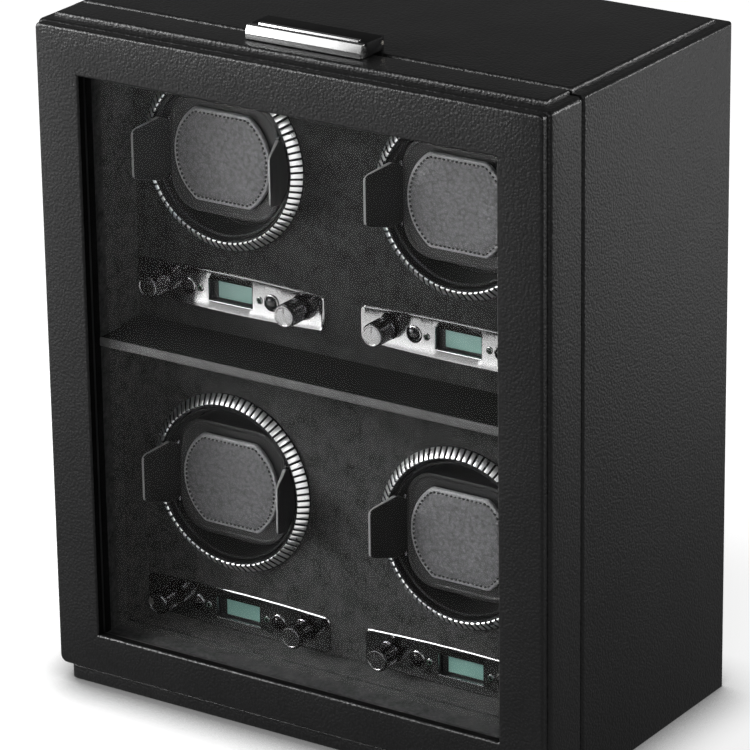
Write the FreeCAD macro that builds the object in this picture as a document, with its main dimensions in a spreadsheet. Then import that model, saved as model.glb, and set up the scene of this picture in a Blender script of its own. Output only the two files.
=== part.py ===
import FreeCAD, Part
import Sketcher
import math
import os
import re

# Watch winder box: a leather-wrapped cabinet with a glazed door, four winder heads on two tiers and a
# control plate under each head. The front faces -Y, +Z is up and the origin is the middle of the rest face.

doc = FreeCAD.newDocument("watch_winder_box")

# Driving dimensions in millimetres. A depth is measured backwards from the door's front face.
SIZES = {
    "overall_width": 327, "overall_depth": 192, "core_top": 391, "cover_height": 3, "cover_inset": 7,
    "wall": 12, "board": 12, "edge_round": 2.5, "cover_round": 2,
    "tongue_height": 8.5, "tongue_inset": 5,
    "door_depth": 35, "seam_gap": 2.5, "door_bottom": 10,
    "slab_depth": 5, "slab_inset": 2, "slab_rise": 0.8, "slab_round": 1.5,
    "window_width": 267, "window_low": 33.5, "window_high": 363.5,
    "gasket_depth": 3, "gasket_lip": 1, "glass_depth": 3, "glass_overlap": 13,
    "hollow_width": 276, "hollow_low": 29, "hollow_high": 370, "lining": 2, "fit_gap": 0.3,
    "face_depth": 6,
    "panel_front": 56, "panel_depth": 4,
    "shelf_low": 203.6, "shelf_high": 208.8, "shelf_front": 14, "shelf_clear_left": 3, "shelf_clear_right": 5.2,
    "head_offset": 76.5, "head_low": 120.2, "head_high": 312,
    "rim_radius": 46.2, "bezel_radius": 52.7, "bezel_front": 52, "bezel_edge": 53.6, "flute_depth": 0.8,
    "drum_radius": 45.3, "drum_wall": 2, "drum_front": 53, "drum_floor": 72, "drum_back": 75,
    "panel_hole": 47.3, "hub_radius": 6, "hub_back": 80, "shaft_radius": 4, "shaft_back": 100, "run_gap": 0.05,
    "bracket_size": 100, "bracket_front": 86, "bracket_back": 90, "post_radius": 4, "post_offset": 46,
    "bush_radius": 7, "bush_flange": 9, "bush_front": 84,
    "gearbox_radius": 18, "gearbox_back": 110, "motor_radius": 16, "motor_back": 126,
    "cuff_width": 72, "cuff_height": 68, "cuff_round": 18, "cuff_front": 55.4, "cuff_back": 71.5,
    "wing_front": 32.4, "wing_reach": 47.5, "wing_thick": 2.7, "wing_front_height": 27, "wing_root_height": 37,
    "wing_neck_height": 32, "wing_foot": 1.5, "wing_root": 3, "wing_flare": 4.2, "wing_heel": 0.5,
    "wing_lip": 1, "wing_gusset": 8, "wing_shoulder": 5,
    "pad_width": 65.5, "pad_tall": 54.4, "pad_front": 52,
    "plate_offset": 74.8, "plate_drop": 79, "plate_width": 125.6, "plate_height": 24, "plate_end": 20.6,
    "plate_front": 54.5,
    "cutout_width": 104, "cutout_height": 20,
    "knob_offset": 46, "knob_radius": 6.8, "knob_front": 40, "knob_back": 53.7, "stem_radius": 3,
    "stem_back": 68, "knob_bevel": 0.8, "stem_gap": 0.2, "mark_width": 1.2, "mark_depth": 0.6,
    "button_offset": 28, "button_radius": 3.75, "button_front": 52.5, "button_back": 57.5, "button_flange": 4.4,
    "flange_front": 56.2, "plunger_radius": 1.5, "plunger_back": 60.3, "button_gap": 0.1, "button_bevel": 0.5,
    "lamp_offset": 20, "lamp_radius": 1.4, "lamp_front": 54.3,
    "display_width": 29, "display_height": 12, "lcd_margin": 2, "lcd_front": 59, "lcd_back": 61.6,
    "circuit_front": 62, "circuit_back": 63.6, "circuit_width": 114, "circuit_height": 22,
    "encoder_size": 11, "encoder_back": 70, "circuit_post": 2, "circuit_post_across": 54, "circuit_post_up": 8,
    "switch_size": 6, "switch_front": 61.4,
    "back_depth": 3, "rabbet": 7, "back_recess": 1,
    "screw_head": 3, "screw_head_height": 1, "screw_shank": 1.5, "screw_length": 13, "screw_across": 154,
    "screw_low": 40, "screw_middle": 200, "screw_high": 360,
    "jack_across": 100, "jack_up": 45, "jack_radius": 6, "jack_flange": 8, "jack_front": 178,
    "jack_bore": 3.2, "jack_bore_depth": 9, "jack_pin": 1,
    "hinge_low": 65, "hinge_high": 286, "hinge_length": 50, "hinge_out": 0.5, "hinge_barrel": 2.5,
    "hinge_pin": 1.25, "hinge_gap": 0.06, "leaf_thick": 0.9, "leaf_reach": 18, "leaf_root": 1.6,
    "leaf_start": 3, "barrel_clear": 3.4, "knuckle_gap": 0.15,
    "latch_width": 74, "latch_front": 21.5, "latch_bar_depth": 6, "latch_back": 43.5, "latch_lift": 0.4,
    "latch_height": 7.6, "latch_flap_height": 7.5, "latch_wall": 5, "latch_ridge_inset": 5,
    "latch_ridge_depth": 2, "latch_ridge_height": 0.9, "latch_pivot_depth": 42, "latch_pivot_up": 4.5,
    "latch_pin": 1.2,
    "latch_knuckle": 2, "latch_pocket_up": 2.1, "latch_pocket_front": 37, "latch_foot_front": 38,
    "latch_foot_thick": 1, "latch_foot_clear": 0.5,
    "keeper_width": 50, "keeper_front": 25, "keeper_back": 33, "keeper_thick": 1,
}
FLUTE_COUNT = 84
# A groove's mouth as a share of the flute pitch, and how far its cutter stands out as a share of its depth.
FLUTE_SHARE = 0.84
FLUTE_OVERSHOOT = 0.2
HINGE_KNUCKLES = 5

sheet = doc.addObject("Spreadsheet::Sheet", "Sizes")
for row, (alias, value) in enumerate(SIZES.items(), start=1):
    sheet.set(f"A{row}", alias)
    sheet.set(f"B{row}", str(value))
    sheet.setAlias(f"B{row}", alias)
doc.recompute()

ALIAS = re.compile(r"[a-z][a-z_]*")
pieces = []

# Expressions that several pieces share.
HALF = "overall_width / 2"
BODY_FRONT = "door_depth + seam_gap"
INSIDE = "overall_width / 2 - wall"
HOLLOW = "hollow_width / 2"
LINING = "hollow_width / 2 + lining"
COVER_TOP = "core_top + cover_height"
GLASS_FRONT = "slab_depth + gasket_depth"
PANEL_BACK = "panel_front + panel_depth"
HINGE_X = "- overall_width / 2 - hinge_out"
HINGE_DEPTH = "door_depth + seam_gap / 2"
LATCH_BOTTOM = "core_top + cover_height + latch_lift"
LATCH_PIVOT = "core_top + cover_height + latch_pivot_up"


def bound(text):
    """The expression with every alias pointing at the sheet."""
    return ALIAS.sub(lambda found: "Sizes." + found.group(), text)


def measure(text):
    """The value of an expression, for shapes that need plain numbers."""
    numbers = ALIAS.sub(lambda found: str(sheet.get(found.group())), text)
    return FreeCAD.Units.Quantity(numbers).Value


def bind(item, path, text):
    item.setExpression(path, bound(text))


def from_middle(depth):
    """A depth behind the front face as a Y position."""
    return f"({depth}) - overall_depth / 2"


def place(item, x, depth, z):
    bind(item, "Placement.Base.x", x)
    bind(item, "Placement.Base.y", from_middle(depth))
    bind(item, "Placement.Base.z", z)


def block(label, x0, x1, depth0, depth1, z0, z1):
    item = doc.addObject("Part::Box", label)
    bind(item, "Length", f"({x1}) - ({x0})")
    bind(item, "Width", f"({depth1}) - ({depth0})")
    bind(item, "Height", f"({z1}) - ({z0})")
    place(item, x0, depth0, z0)
    return item


AXIS_TURN = {
    "x": FreeCAD.Rotation(FreeCAD.Vector(0, 1, 0), 90),
    "y": FreeCAD.Rotation(FreeCAD.Vector(1, 0, 0), -90),
    "z": FreeCAD.Rotation(),
}


def rod(label, axis, radius, length, x, depth, z):
    item = doc.addObject("Part::Cylinder", label)
    item.Placement = FreeCAD.Placement(FreeCAD.Vector(), AXIS_TURN[axis])
    bind(item, "Radius", radius)
    bind(item, "Height", length)
    place(item, x, depth, z)
    return item


def fuse(label, *shapes):
    item = doc.addObject("Part::MultiFuse", label)
    item.Shapes = list(shapes)
    return item


def cut(label, base, *tools):
    item = doc.addObject("Part::Cut", label)
    item.Base = base
    item.Tool = tools[0] if len(tools) == 1 else fuse(label + "_tools", *tools)
    return item


def group(label, items):
    item = doc.addObject("Part::Compound", label)
    item.Links = list(items)
    return item


def soften(label, base, radius, wanted):
    """Round the edges of base for which wanted is true."""
    doc.recompute()
    size = measure(radius)
    item = doc.addObject("Part::Fillet", label)
    item.Base = base
    item.Edges = [(i, size, size) for i, edge in enumerate(base.Shape.Edges, start=1) if wanted(edge)]
    return item


def fixed(label, shape, x="0", depth="overall_depth / 2", z="0"):
    """A piece whose shape is worked out here, then placed."""
    item = doc.addObject("Part::Feature", label)
    item.Shape = shape
    place(item, x, depth, z)
    return item


def keep(item):
    """Hand the finished piece in."""
    pieces.append(item)
    return item


def draw(sketch, profile):
    """A closed outline through the profile's corners, each held by its own two dimensions."""
    corners = [FreeCAD.Vector(measure(across), measure(along), 0) for across, along in profile]
    count = len(corners)
    for i in range(count):
        sketch.addGeometry(Part.LineSegment(corners[i], corners[(i + 1) % count]), False)
    for i in range(count):
        sketch.addConstraint(Sketcher.Constraint("Coincident", i, 2, (i + 1) % count, 1))
    for i, texts in enumerate(profile):
        for kind, axis, text, value in zip(("DistanceX", "DistanceY"), (-2, -1), texts, corners[i]):
            if value == 0:
                sketch.addConstraint(Sketcher.Constraint("PointOnObject", i, 1, axis))
            else:
                number = sketch.addConstraint(Sketcher.Constraint(kind, -1, 1, i, 1, value))
                sketch.setExpression(f"Constraints[{number}]", bound(text))


def turned(label, profile, x="0", z="0"):
    """A turned piece: radius and depth pairs revolved about the front-to-back axis."""
    body = doc.addObject("PartDesign::Body", label)
    plane = next(item for item in body.Origin.OriginFeatures if item.Role == "XY_Plane")
    sketch = body.newObject("Sketcher::SketchObject", label + "_profile")
    sketch.AttachmentSupport = (plane, [""])
    sketch.MapMode = "FlatFace"
    draw(sketch, [(radius, from_middle(depth)) for radius, depth in profile])
    turn = body.newObject("PartDesign::Revolution", label + "_turn")
    turn.Profile = sketch
    turn.ReferenceAxis = (sketch, ["V_Axis"])
    turn.Angle = 360
    bind(body, "Placement.Base.x", x)
    bind(body, "Placement.Base.z", z)
    return body


def on_plane(edge, axis, value):
    box = edge.BoundBox
    low, high = {"x": (box.XMin, box.XMax), "y": (box.YMin, box.YMax), "z": (box.ZMin, box.ZMax)}[axis]
    return abs(low - value) < 1e-4 and abs(high - value) < 1e-4


def frame_ring(label, outer, inner, depth0, depth1):
    """A rectangular ring; outer and inner are half width, low and high."""
    whole = block(label + "_whole", f"-({outer[0]})", outer[0], depth0, depth1, outer[1], outer[2])
    hole = block(label + "_hole", f"-({inner[0]})", inner[0], f"{depth0} - 1", f"{depth1} + 1",
                 inner[1], inner[2])
    return cut(label, whole, hole)


# Where the four heads sit: name, X position, Z position.
HEADS = [
    (f"{tier}_{side}", f"{sign} * head_offset", height)
    for tier, height in (("lower", "head_low"), ("upper", "head_high"))
    for side, sign in (("left", "-1"), ("right", "1"))
]
# The control plates sit below the heads, a little nearer the middle.
PLATES = [(name, x.replace("head_offset", "plate_offset"), f"{z} - plate_drop") for name, x, z in HEADS]
HINGES = (("low", "hinge_low"), ("high", "hinge_high"))


def barrel_room(label, front, back):
    """The clearance round each hinge barrel in the left-hand edge."""
    return [
        block(f"{label}_{name}", f"{HINGE_X} - barrel_clear", f"{HINGE_X} + barrel_clear", front, back,
              f"{low} - 1", f"{low} + hinge_length + 1")
        for name, low in HINGES
    ]


# Cabinet walls
SCREW_ROWS = (("low", "screw_low"), ("middle", "screw_middle"), ("high", "screw_high"))


def side_panel(side, sign):
    label = f"side_panel_{side}"
    edges = sorted([f"{sign} * ({HALF})", f"{sign} * ({INSIDE})"], key=measure)
    board = block(label + "_board", edges[0], edges[1], BODY_FRONT, "overall_depth", "0", "core_top")
    outer = measure(f"{sign} * ({HALF})")
    soft = soften(label + "_soft", board, "edge_round",
                  lambda edge: on_plane(edge, "x", outer) and not on_plane(edge, "z", 0))
    rabbet_edges = sorted([f"{sign} * ({INSIDE} - 1)", f"{sign} * ({INSIDE} + rabbet)"], key=measure)
    rabbet = block(label + "_rabbet", rabbet_edges[0], rabbet_edges[1],
                   "overall_depth - back_recess - back_depth", "overall_depth + 1", "board", "core_top - board")
    holes = [
        rod(f"{label}_hole_{name}", "y", "screw_shank", "screw_length", f"{sign} * screw_across",
            "overall_depth - back_recess - screw_length", height)
        for name, height in SCREW_ROWS
    ]
    room = []
    if side == "left":
        room = barrel_room(label + "_barrel", f"{BODY_FRONT} - 1", f"{HINGE_DEPTH} + barrel_clear")
    return cut(label, soft, rabbet, *holes, *room)


keep(side_panel("left", "-1"))
keep(side_panel("right", "1"))
keep(block("top_board", f"-({INSIDE})", INSIDE, BODY_FRONT, "overall_depth - back_recess - back_depth",
           "core_top - board", "core_top"))
base_inner = block("base_inner", f"-({INSIDE})", INSIDE, BODY_FRONT,
                   "overall_depth - back_recess - back_depth", "0", "board")
base_tongue = block("base_tongue", f"-({HALF} - tongue_inset)", f"{HALF} - tongue_inset", "tongue_inset",
                    BODY_FRONT, "0", "tongue_height")
keep(fuse("base_board", base_inner, base_tongue))


def leather_cover(label, front, back):
    board = block(label + "_board", f"-({HALF} - cover_inset)", f"{HALF} - cover_inset", front, back,
                  "core_top", COVER_TOP)
    return soften(label, board, "cover_round", lambda edge: on_plane(edge, "z", measure(COVER_TOP)))


keep(leather_cover("top_cover", BODY_FRONT, "overall_depth - cover_inset"))

# Back panel with its screws and the power jack
back_board = block("back_board", f"-({INSIDE} + rabbet)", f"{INSIDE} + rabbet",
                   "overall_depth - back_recess - back_depth", "overall_depth - back_recess",
                   "board", "core_top - board")
SCREWS = [(f"{side}_{name}", f"{sign} * screw_across", height)
          for side, sign in (("left", "-1"), ("right", "1")) for name, height in SCREW_ROWS]
screw_holes = [
    rod(f"back_hole_{name}", "y", "screw_shank", "back_depth + 2", x,
        "overall_depth - back_recess - back_depth - 1", z)
    for name, x, z in SCREWS
]
jack_hole = rod("jack_hole", "y", "jack_radius", "back_depth + 2", "jack_across",
                "overall_depth - back_recess - back_depth - 1", "jack_up")
keep(cut("back_panel", back_board, jack_hole, *screw_holes))
SCREW_SEAT = "overall_depth - back_recess"
keep(group("back_screws", [
    turned(f"back_screw_{name}", [
        ("0", f"{SCREW_SEAT} - screw_length"), ("screw_shank", f"{SCREW_SEAT} - screw_length"),
        ("screw_shank", SCREW_SEAT), ("screw_head", SCREW_SEAT),
        ("screw_head", f"{SCREW_SEAT} + screw_head_height"), ("0", f"{SCREW_SEAT} + screw_head_height"),
    ], x, z)
    for name, x, z in SCREWS
]))
keep(turned("power_jack", [
    ("0", "jack_front"), ("jack_radius", "jack_front"), ("jack_radius", SCREW_SEAT),
    ("jack_flange", SCREW_SEAT), ("jack_flange", "overall_depth"), ("jack_bore", "overall_depth"),
    ("jack_bore", "overall_depth - jack_bore_depth"), ("jack_pin", "overall_depth - jack_bore_depth"),
    ("jack_pin", "overall_depth - back_recess"), ("0", "overall_depth - back_recess"),
], "jack_across", "jack_up"))

# Lined compartments: a face frame with a suede ring behind it, the shelf and the two panels
face_ring = frame_ring("face_ring", (INSIDE, "board", "core_top - board"),
                       (HOLLOW, "hollow_low", "hollow_high"), BODY_FRONT, f"{BODY_FRONT} + face_depth")
suede_ring = frame_ring("suede_ring", (LINING, "hollow_low - lining", "hollow_high + lining"),
                        (HOLLOW, "hollow_low", "hollow_high"), f"{BODY_FRONT} + face_depth", "panel_front")
keep(fuse("compartment_lining", face_ring, suede_ring))
shelf_root = block("shelf_root", f"-({HOLLOW})", HOLLOW, BODY_FRONT, "panel_front", "shelf_low", "shelf_high")
shelf_nose = block("shelf_nose", f"-({HOLLOW} - shelf_clear_left)", f"{HOLLOW} - shelf_clear_right",
                   "shelf_front", BODY_FRONT, "shelf_low", "shelf_high")
keep(fuse("divider_shelf", shelf_root, shelf_nose))


def winder_panel(tier, low, high):
    label = f"winder_panel_{tier}"
    board = block(label + "_board", f"-({LINING})", LINING, "panel_front", PANEL_BACK, low, high)
    tools = []
    for name, x, z in HEADS:
        if name.startswith(tier):
            tools.append(rod(f"{label}_hole_{name}", "y", "panel_hole", "panel_depth + 2",
                             x, "panel_front - 1", z))
    for name, x, z in PLATES:
        if name.startswith(tier):
            tools.append(block(f"{label}_cutout_{name}", f"{x} - cutout_width / 2", f"{x} + cutout_width / 2",
                               "panel_front - 1", f"{PANEL_BACK} + 1", f"{z} - cutout_height / 2",
                               f"{z} + cutout_height / 2"))
    return cut(label, board, *tools)


SHELF_MIDDLE = "shelf_low / 2 + shelf_high / 2"
keep(winder_panel("lower", "hollow_low - lining", SHELF_MIDDLE))
keep(winder_panel("upper", SHELF_MIDDLE, "hollow_high + lining"))

# Fluted bezel rings
bezel_blank = turned("bezel_blank", [
    ("rim_radius", "bezel_front"), ("rim_radius + 1", "bezel_front"), ("bezel_radius", "bezel_edge"),
    ("bezel_radius", "panel_front"), ("rim_radius", "panel_front"),
])


def flute_cutters():
    """V-shaped cutters laid along the bezel's sloping face."""
    inner = FreeCAD.Vector(measure("rim_radius + 1"), measure(from_middle("bezel_front")), 0)
    outer = FreeCAD.Vector(measure("bezel_radius"), measure(from_middle("bezel_edge")), 0)
    slope = (outer - inner).normalize()
    inwards = FreeCAD.Vector(-slope.y, slope.x, 0)
    depth = measure("flute_depth")
    half = FLUTE_SHARE * math.pi * measure("rim_radius") / FLUTE_COUNT
    start = inner - slope * depth
    mouth = start - inwards * depth * FLUTE_OVERSHOOT
    corners = [start + inwards * depth, mouth + FreeCAD.Vector(0, 0, half), mouth - FreeCAD.Vector(0, 0, half)]
    reach = slope * ((outer - inner).Length + 2 * depth)
    cutter = Part.Face(Part.makePolygon(corners + corners[:1])).extrude(reach)
    copies = []
    for i in range(FLUTE_COUNT):
        turned_copy = cutter.copy()
        turned_copy.rotate(FreeCAD.Vector(), FreeCAD.Vector(0, 1, 0), 360 * i / FLUTE_COUNT)
        copies.append(turned_copy)
    return Part.makeCompound(copies)


bezel_fluted = cut("bezel_fluted", bezel_blank, fixed("flute_cutters", flute_cutters()))
doc.recompute()
keep(group("bezel_rings", [
    fixed(f"bezel_ring_{name}", bezel_fluted.Shape.copy(), x, z=z) for name, x, z in HEADS]))


# Drive behind each head: bracket, bush and gear motor
def drive_bracket(name, x, z):
    plate = block(f"bracket_plate_{name}", f"{x} - bracket_size / 2", f"{x} + bracket_size / 2",
                  "bracket_front", "bracket_back", f"{z} - bracket_size / 2", f"{z} + bracket_size / 2")
    posts = [
        rod(f"bracket_post_{name}_{i}", "y", "post_radius", f"bracket_front - ({PANEL_BACK})",
            f"{x} + {across} * post_offset", PANEL_BACK, f"{z} + {up} * post_offset")
        for i, (across, up) in enumerate((a, b) for a in ("-1", "1") for b in ("-1", "1"))
    ]
    seat = rod(f"bracket_seat_{name}", "y", "bush_radius", "bracket_back - bracket_front + 2",
               x, "bracket_front - 1", z)
    return cut(f"drive_bracket_{name}", fuse(f"bracket_{name}", plate, *posts), seat)


keep(group("drive_brackets", [drive_bracket(*head) for head in HEADS]))
keep(group("bearing_bushes", [
    turned(f"bearing_bush_{name}", [
        ("shaft_radius + run_gap", "bush_front"), ("bush_flange", "bush_front"),
        ("bush_flange", "bracket_front"), ("bush_radius", "bracket_front"), ("bush_radius", "bracket_back"),
        ("shaft_radius + run_gap", "bracket_back"),
    ], x, z)
    for name, x, z in HEADS
]))
keep(group("gear_motors", [
    turned(f"gear_motor_{name}", [
        ("shaft_radius + run_gap", "bracket_back"), ("gearbox_radius", "bracket_back"),
        ("gearbox_radius", "gearbox_back"), ("motor_radius", "gearbox_back"), ("motor_radius", "motor_back"),
        ("0", "motor_back"), ("0", "shaft_back + 1"), ("shaft_radius + run_gap", "shaft_back + 1"),
    ], x, z)
    for name, x, z in HEADS
]))


# Heads: the drum that turns, the cuff that pulls out of it and the cuff's stitched pad
def wing(label, sign, x, z):
    """A side wing: a shell turned about the head's axis, flaring forwards, trimmed to a tapering outline."""
    thick, reach = measure("wing_thick"), measure("wing_reach")
    front, back = measure(from_middle("wing_front")), measure(from_middle("cuff_back - wing_foot"))
    lip = measure(from_middle("drum_front + wing_lip"))
    root, bend = measure("cuff_width / 2 - wing_root"), measure("cuff_width / 2 + wing_flare")
    profile = [(root, back), (measure("cuff_width / 2 + wing_heel"), back), (bend, lip), (reach, front),
               (reach - thick, front), (bend - thick, lip), (root, lip + measure("wing_gusset"))]
    corners = [FreeCAD.Vector(radius, along, 0) for radius, along in profile]
    section = Part.Face(Part.makePolygon(corners + corners[:1]))
    section.rotate(FreeCAD.Vector(), FreeCAD.Vector(0, 1, 0), -45 if sign > 0 else 135)
    shell = section.revolve(FreeCAD.Vector(), FreeCAD.Vector(0, 1, 0), 90)
    neck, middle, tip = (measure(f"wing_{part}_height / 2") for part in ("neck", "root", "front"))
    upper = [(back + 1, neck - 2), (lip, neck), (lip - measure("wing_shoulder"), middle), (front - 1, tip)]
    outline = upper + [(along, -up) for along, up in reversed(upper)]
    corners = [FreeCAD.Vector(-2 * reach, along, up) for along, up in outline]
    taper = Part.Face(Part.makePolygon(corners + corners[:1])).extrude(FreeCAD.Vector(4 * reach, 0, 0))
    return fixed(label, shell.common(taper), x, z=z)


def cuff(name, x, z):
    core = block(f"cuff_core_{name}", f"{x} - cuff_width / 2", f"{x} + cuff_width / 2",
                 "cuff_front", "cuff_back", f"{z} - cuff_height / 2", f"{z} + cuff_height / 2")
    core_soft = soften(f"cuff_soft_{name}", core, "cuff_round",
                       lambda edge: edge.BoundBox.YLength > 1)
    wings = [wing(f"cuff_wing_{name}_{side}", sign, x, z) for side, sign in (("left", -1), ("right", 1))]
    return fuse(f"cuff_{name}", core_soft, *wings)


def pad_outline(scale, depth):
    """The pad's outline: two arcs joined by flats above and below."""
    half = measure("pad_width / 2") * scale
    flat = measure("pad_tall / 2") - measure("pad_width / 2") * (1 - scale)
    along = measure(from_middle(depth))
    across = math.sqrt(half ** 2 - flat ** 2)
    corner = [FreeCAD.Vector(a * across, along, b * flat) for a, b in ((-1, 1), (1, 1), (1, -1), (-1, -1))]
    right, left = FreeCAD.Vector(half, along, 0), FreeCAD.Vector(-half, along, 0)
    return Part.Wire([
        Part.makeLine(corner[0], corner[1]), Part.Arc(corner[1], right, corner[2]).toShape(),
        Part.makeLine(corner[2], corner[3]), Part.Arc(corner[3], left, corner[0]).toShape(),
    ])


# The pad's sections from back to front: the share of its width, and the depth.
PAD_SECTIONS = [(0.95, "cuff_front"), (1.0, "cuff_front - 1"), (0.985, "pad_front + 1.4"),
                (0.93, "pad_front + 0.5"), (0.8, "pad_front")]


def cushion():
    """The pad with its crown and drawn-in sides."""
    return Part.makeLoft([pad_outline(scale, depth) for scale, depth in PAD_SECTIONS], True, False)


cushion_shape = cushion()
for name, x, z in HEADS:
    keep(turned(f"drum_{name}", [
        ("0", "drum_floor"), ("drum_radius - drum_wall", "drum_floor"),
        ("drum_radius - drum_wall", "drum_front"), ("drum_radius", "drum_front"), ("drum_radius", "drum_back"),
        ("hub_radius", "drum_back"), ("hub_radius", "hub_back"), ("shaft_radius", "hub_back"),
        ("shaft_radius", "shaft_back"), ("0", "shaft_back"),
    ], x, z))
    keep(cuff(name, x, z))
    keep(fixed(f"cuff_pad_{name}", cushion_shape.copy(), x, z=z))


# Control plates with their knobs, buttons, displays and circuit boards
def plate_outline():
    """A plate with straight ends whose long edges bow outwards."""
    half, end, middle = (measure(f"plate_{part} / 2") for part in ("width", "end", "height"))
    along = measure(from_middle("plate_front"))
    point = {key: FreeCAD.Vector(a * half, along, b) for key, a, b in (
        ("left_up", -1, end), ("up", 0, middle), ("right_up", 1, end),
        ("right_down", 1, -end), ("down", 0, -middle), ("left_down", -1, -end))}
    outline = Part.Wire([
        Part.Arc(point["left_up"], point["up"], point["right_up"]).toShape(),
        Part.makeLine(point["right_up"], point["right_down"]),
        Part.Arc(point["right_down"], point["down"], point["left_down"]).toShape(),
        Part.makeLine(point["left_down"], point["left_up"]),
    ])
    return Part.Face(outline).extrude(FreeCAD.Vector(0, measure("panel_front - plate_front"), 0))


def control_plate(name, x, z):
    blank = fixed(f"plate_blank_{name}", plate_outline(), x, z=z)
    tools = [block(f"plate_window_{name}", f"{x} - display_width / 2", f"{x} + display_width / 2",
                   "plate_front - 1", "panel_front + 1",
                   f"{z} - display_height / 2", f"{z} + display_height / 2")]
    for side, sign in (("left", "-1"), ("right", "1")):
        for kind, radius in (("knob", "stem_radius + stem_gap"), ("button", "button_radius + button_gap"),
                             ("lamp", "lamp_radius + button_gap")):
            tools.append(rod(f"plate_{kind}_{side}_{name}", "y", radius, "panel_front - plate_front + 2",
                             f"{x} + {sign} * {kind}_offset", "plate_front - 1", z))
    return cut(f"control_plate_{name}", blank, *tools)


def lcd_panel(name, x, z):
    across, up = "display_width / 2 + lcd_margin", "display_height / 2 + lcd_margin"
    return block(f"lcd_panel_{name}", f"{x} - ({across})", f"{x} + {across}", "lcd_front", "lcd_back",
                 f"{z} - ({up})", f"{z} + {up}")


def circuit_board(name, x, z):
    parts = [block(f"circuit_{name}", f"{x} - circuit_width / 2", f"{x} + circuit_width / 2",
                   "circuit_front", "circuit_back", f"{z} - circuit_height / 2", f"{z} + circuit_height / 2")]
    bores = []
    for side, sign in (("left", "-1"), ("right", "1")):
        knob_x, button_x = f"{x} + {sign} * knob_offset", f"{x} + {sign} * button_offset"
        parts.append(block(
            f"encoder_{side}_{name}", f"{knob_x} - encoder_size / 2", f"{knob_x} + encoder_size / 2",
            "circuit_back", "encoder_back", f"{z} - encoder_size / 2", f"{z} + encoder_size / 2"))
        parts.append(block(
            f"switch_{side}_{name}", f"{button_x} - switch_size / 2", f"{button_x} + switch_size / 2",
            "switch_front", "circuit_front", f"{z} - switch_size / 2", f"{z} + switch_size / 2"))
        parts.append(rod(f"lamp_{side}_{name}", "y", "lamp_radius", "circuit_front - lamp_front",
                         f"{x} + {sign} * lamp_offset", "lamp_front", z))
        parts += [
            rod(f"circuit_post_{side}_{up}_{name}", "y", "circuit_post", f"circuit_front - ({PANEL_BACK})",
                f"{x} + {sign} * circuit_post_across", PANEL_BACK, f"{z} + {rise} * circuit_post_up")
            for up, rise in (("low", "-1"), ("high", "1"))
        ]
        bores.append(rod(f"encoder_bore_{side}_{name}", "y", "stem_radius + run_gap",
                         "encoder_back - circuit_front + 2", knob_x, "circuit_front - 1", z))
    return cut(f"circuit_board_{name}", fuse(f"circuit_whole_{name}", *parts), *bores)


keep(group("control_plates", [control_plate(*plate) for plate in PLATES]))
keep(group("lcd_panels", [lcd_panel(*plate) for plate in PLATES]))
keep(group("circuit_boards", [circuit_board(*plate) for plate in PLATES]))


def knob(label, x, z):
    body = turned(label + "_body", [
        ("0", "knob_front"), ("knob_radius - knob_bevel", "knob_front"),
        ("knob_radius", "knob_front + knob_bevel"), ("knob_radius", "knob_back"), ("stem_radius", "knob_back"),
        ("stem_radius", "stem_back"), ("0", "stem_back"),
    ], x, z)
    mark = block(label + "_mark", f"{x} - mark_width / 2", f"{x} + mark_width / 2", "knob_front - 1",
                 "knob_front + mark_depth", z, f"{z} + knob_radius + 1")
    return cut(label, body, mark)


def button(label, x, z):
    return turned(label, [
        ("0", "button_front"), ("button_radius - button_bevel", "button_front"),
        ("button_radius", "button_front + button_bevel"), ("button_radius", "flange_front"),
        ("button_flange", "flange_front"), ("button_flange", "button_back"), ("plunger_radius", "button_back"),
        ("plunger_radius", "plunger_back"), ("0", "plunger_back"),
    ], x, z)


for name, x, z in PLATES:
    keep(knob(f"direction_knob_{name}", f"{x} - knob_offset", z))
    keep(knob(f"turns_knob_{name}", f"{x} + knob_offset", z))
    keep(button(f"start_button_{name}", f"{x} - button_offset", z))
    keep(button(f"delay_button_{name}", f"{x} + button_offset", z))

# Door: wrapped frame, front panel, glass in its gasket, padded top
DOOR_LOW = "door_bottom + slab_rise"
DOOR_HIGH = "core_top - slab_rise"
door_block = block("door_block", f"-({HALF})", HALF, "slab_depth", "door_depth", "door_bottom", "core_top")
door_front = measure(from_middle("slab_depth"))
door_sides = (measure(f"-({HALF})"), measure(HALF))
door_back = measure(from_middle("door_depth"))
door_soft = soften("door_soft", door_block, "edge_round", lambda edge: on_plane(edge, "y", door_front) or any(
    on_plane(edge, "x", side) and not on_plane(edge, "y", door_back) for side in door_sides))
door_hollow = block("door_hollow", f"-({HOLLOW})", HOLLOW, "slab_depth - 1", "door_depth + 1",
                    "hollow_low", "hollow_high")
GLASS_HALF = "window_width / 2 + glass_overlap"
GLASS_LOW, GLASS_HIGH = "window_low - glass_overlap", "window_high + glass_overlap"
glass_rabbet = block("glass_rabbet", f"-({GLASS_HALF} + fit_gap)", f"{GLASS_HALF} + fit_gap", "slab_depth - 1",
                     f"{GLASS_FRONT} + glass_depth", f"{GLASS_LOW} - fit_gap", f"{GLASS_HIGH} + fit_gap")
keep(cut("door_frame", door_soft, door_hollow, glass_rabbet,
         *barrel_room("door_barrel", f"{HINGE_DEPTH} - barrel_clear", "door_depth + 1")))

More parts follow.
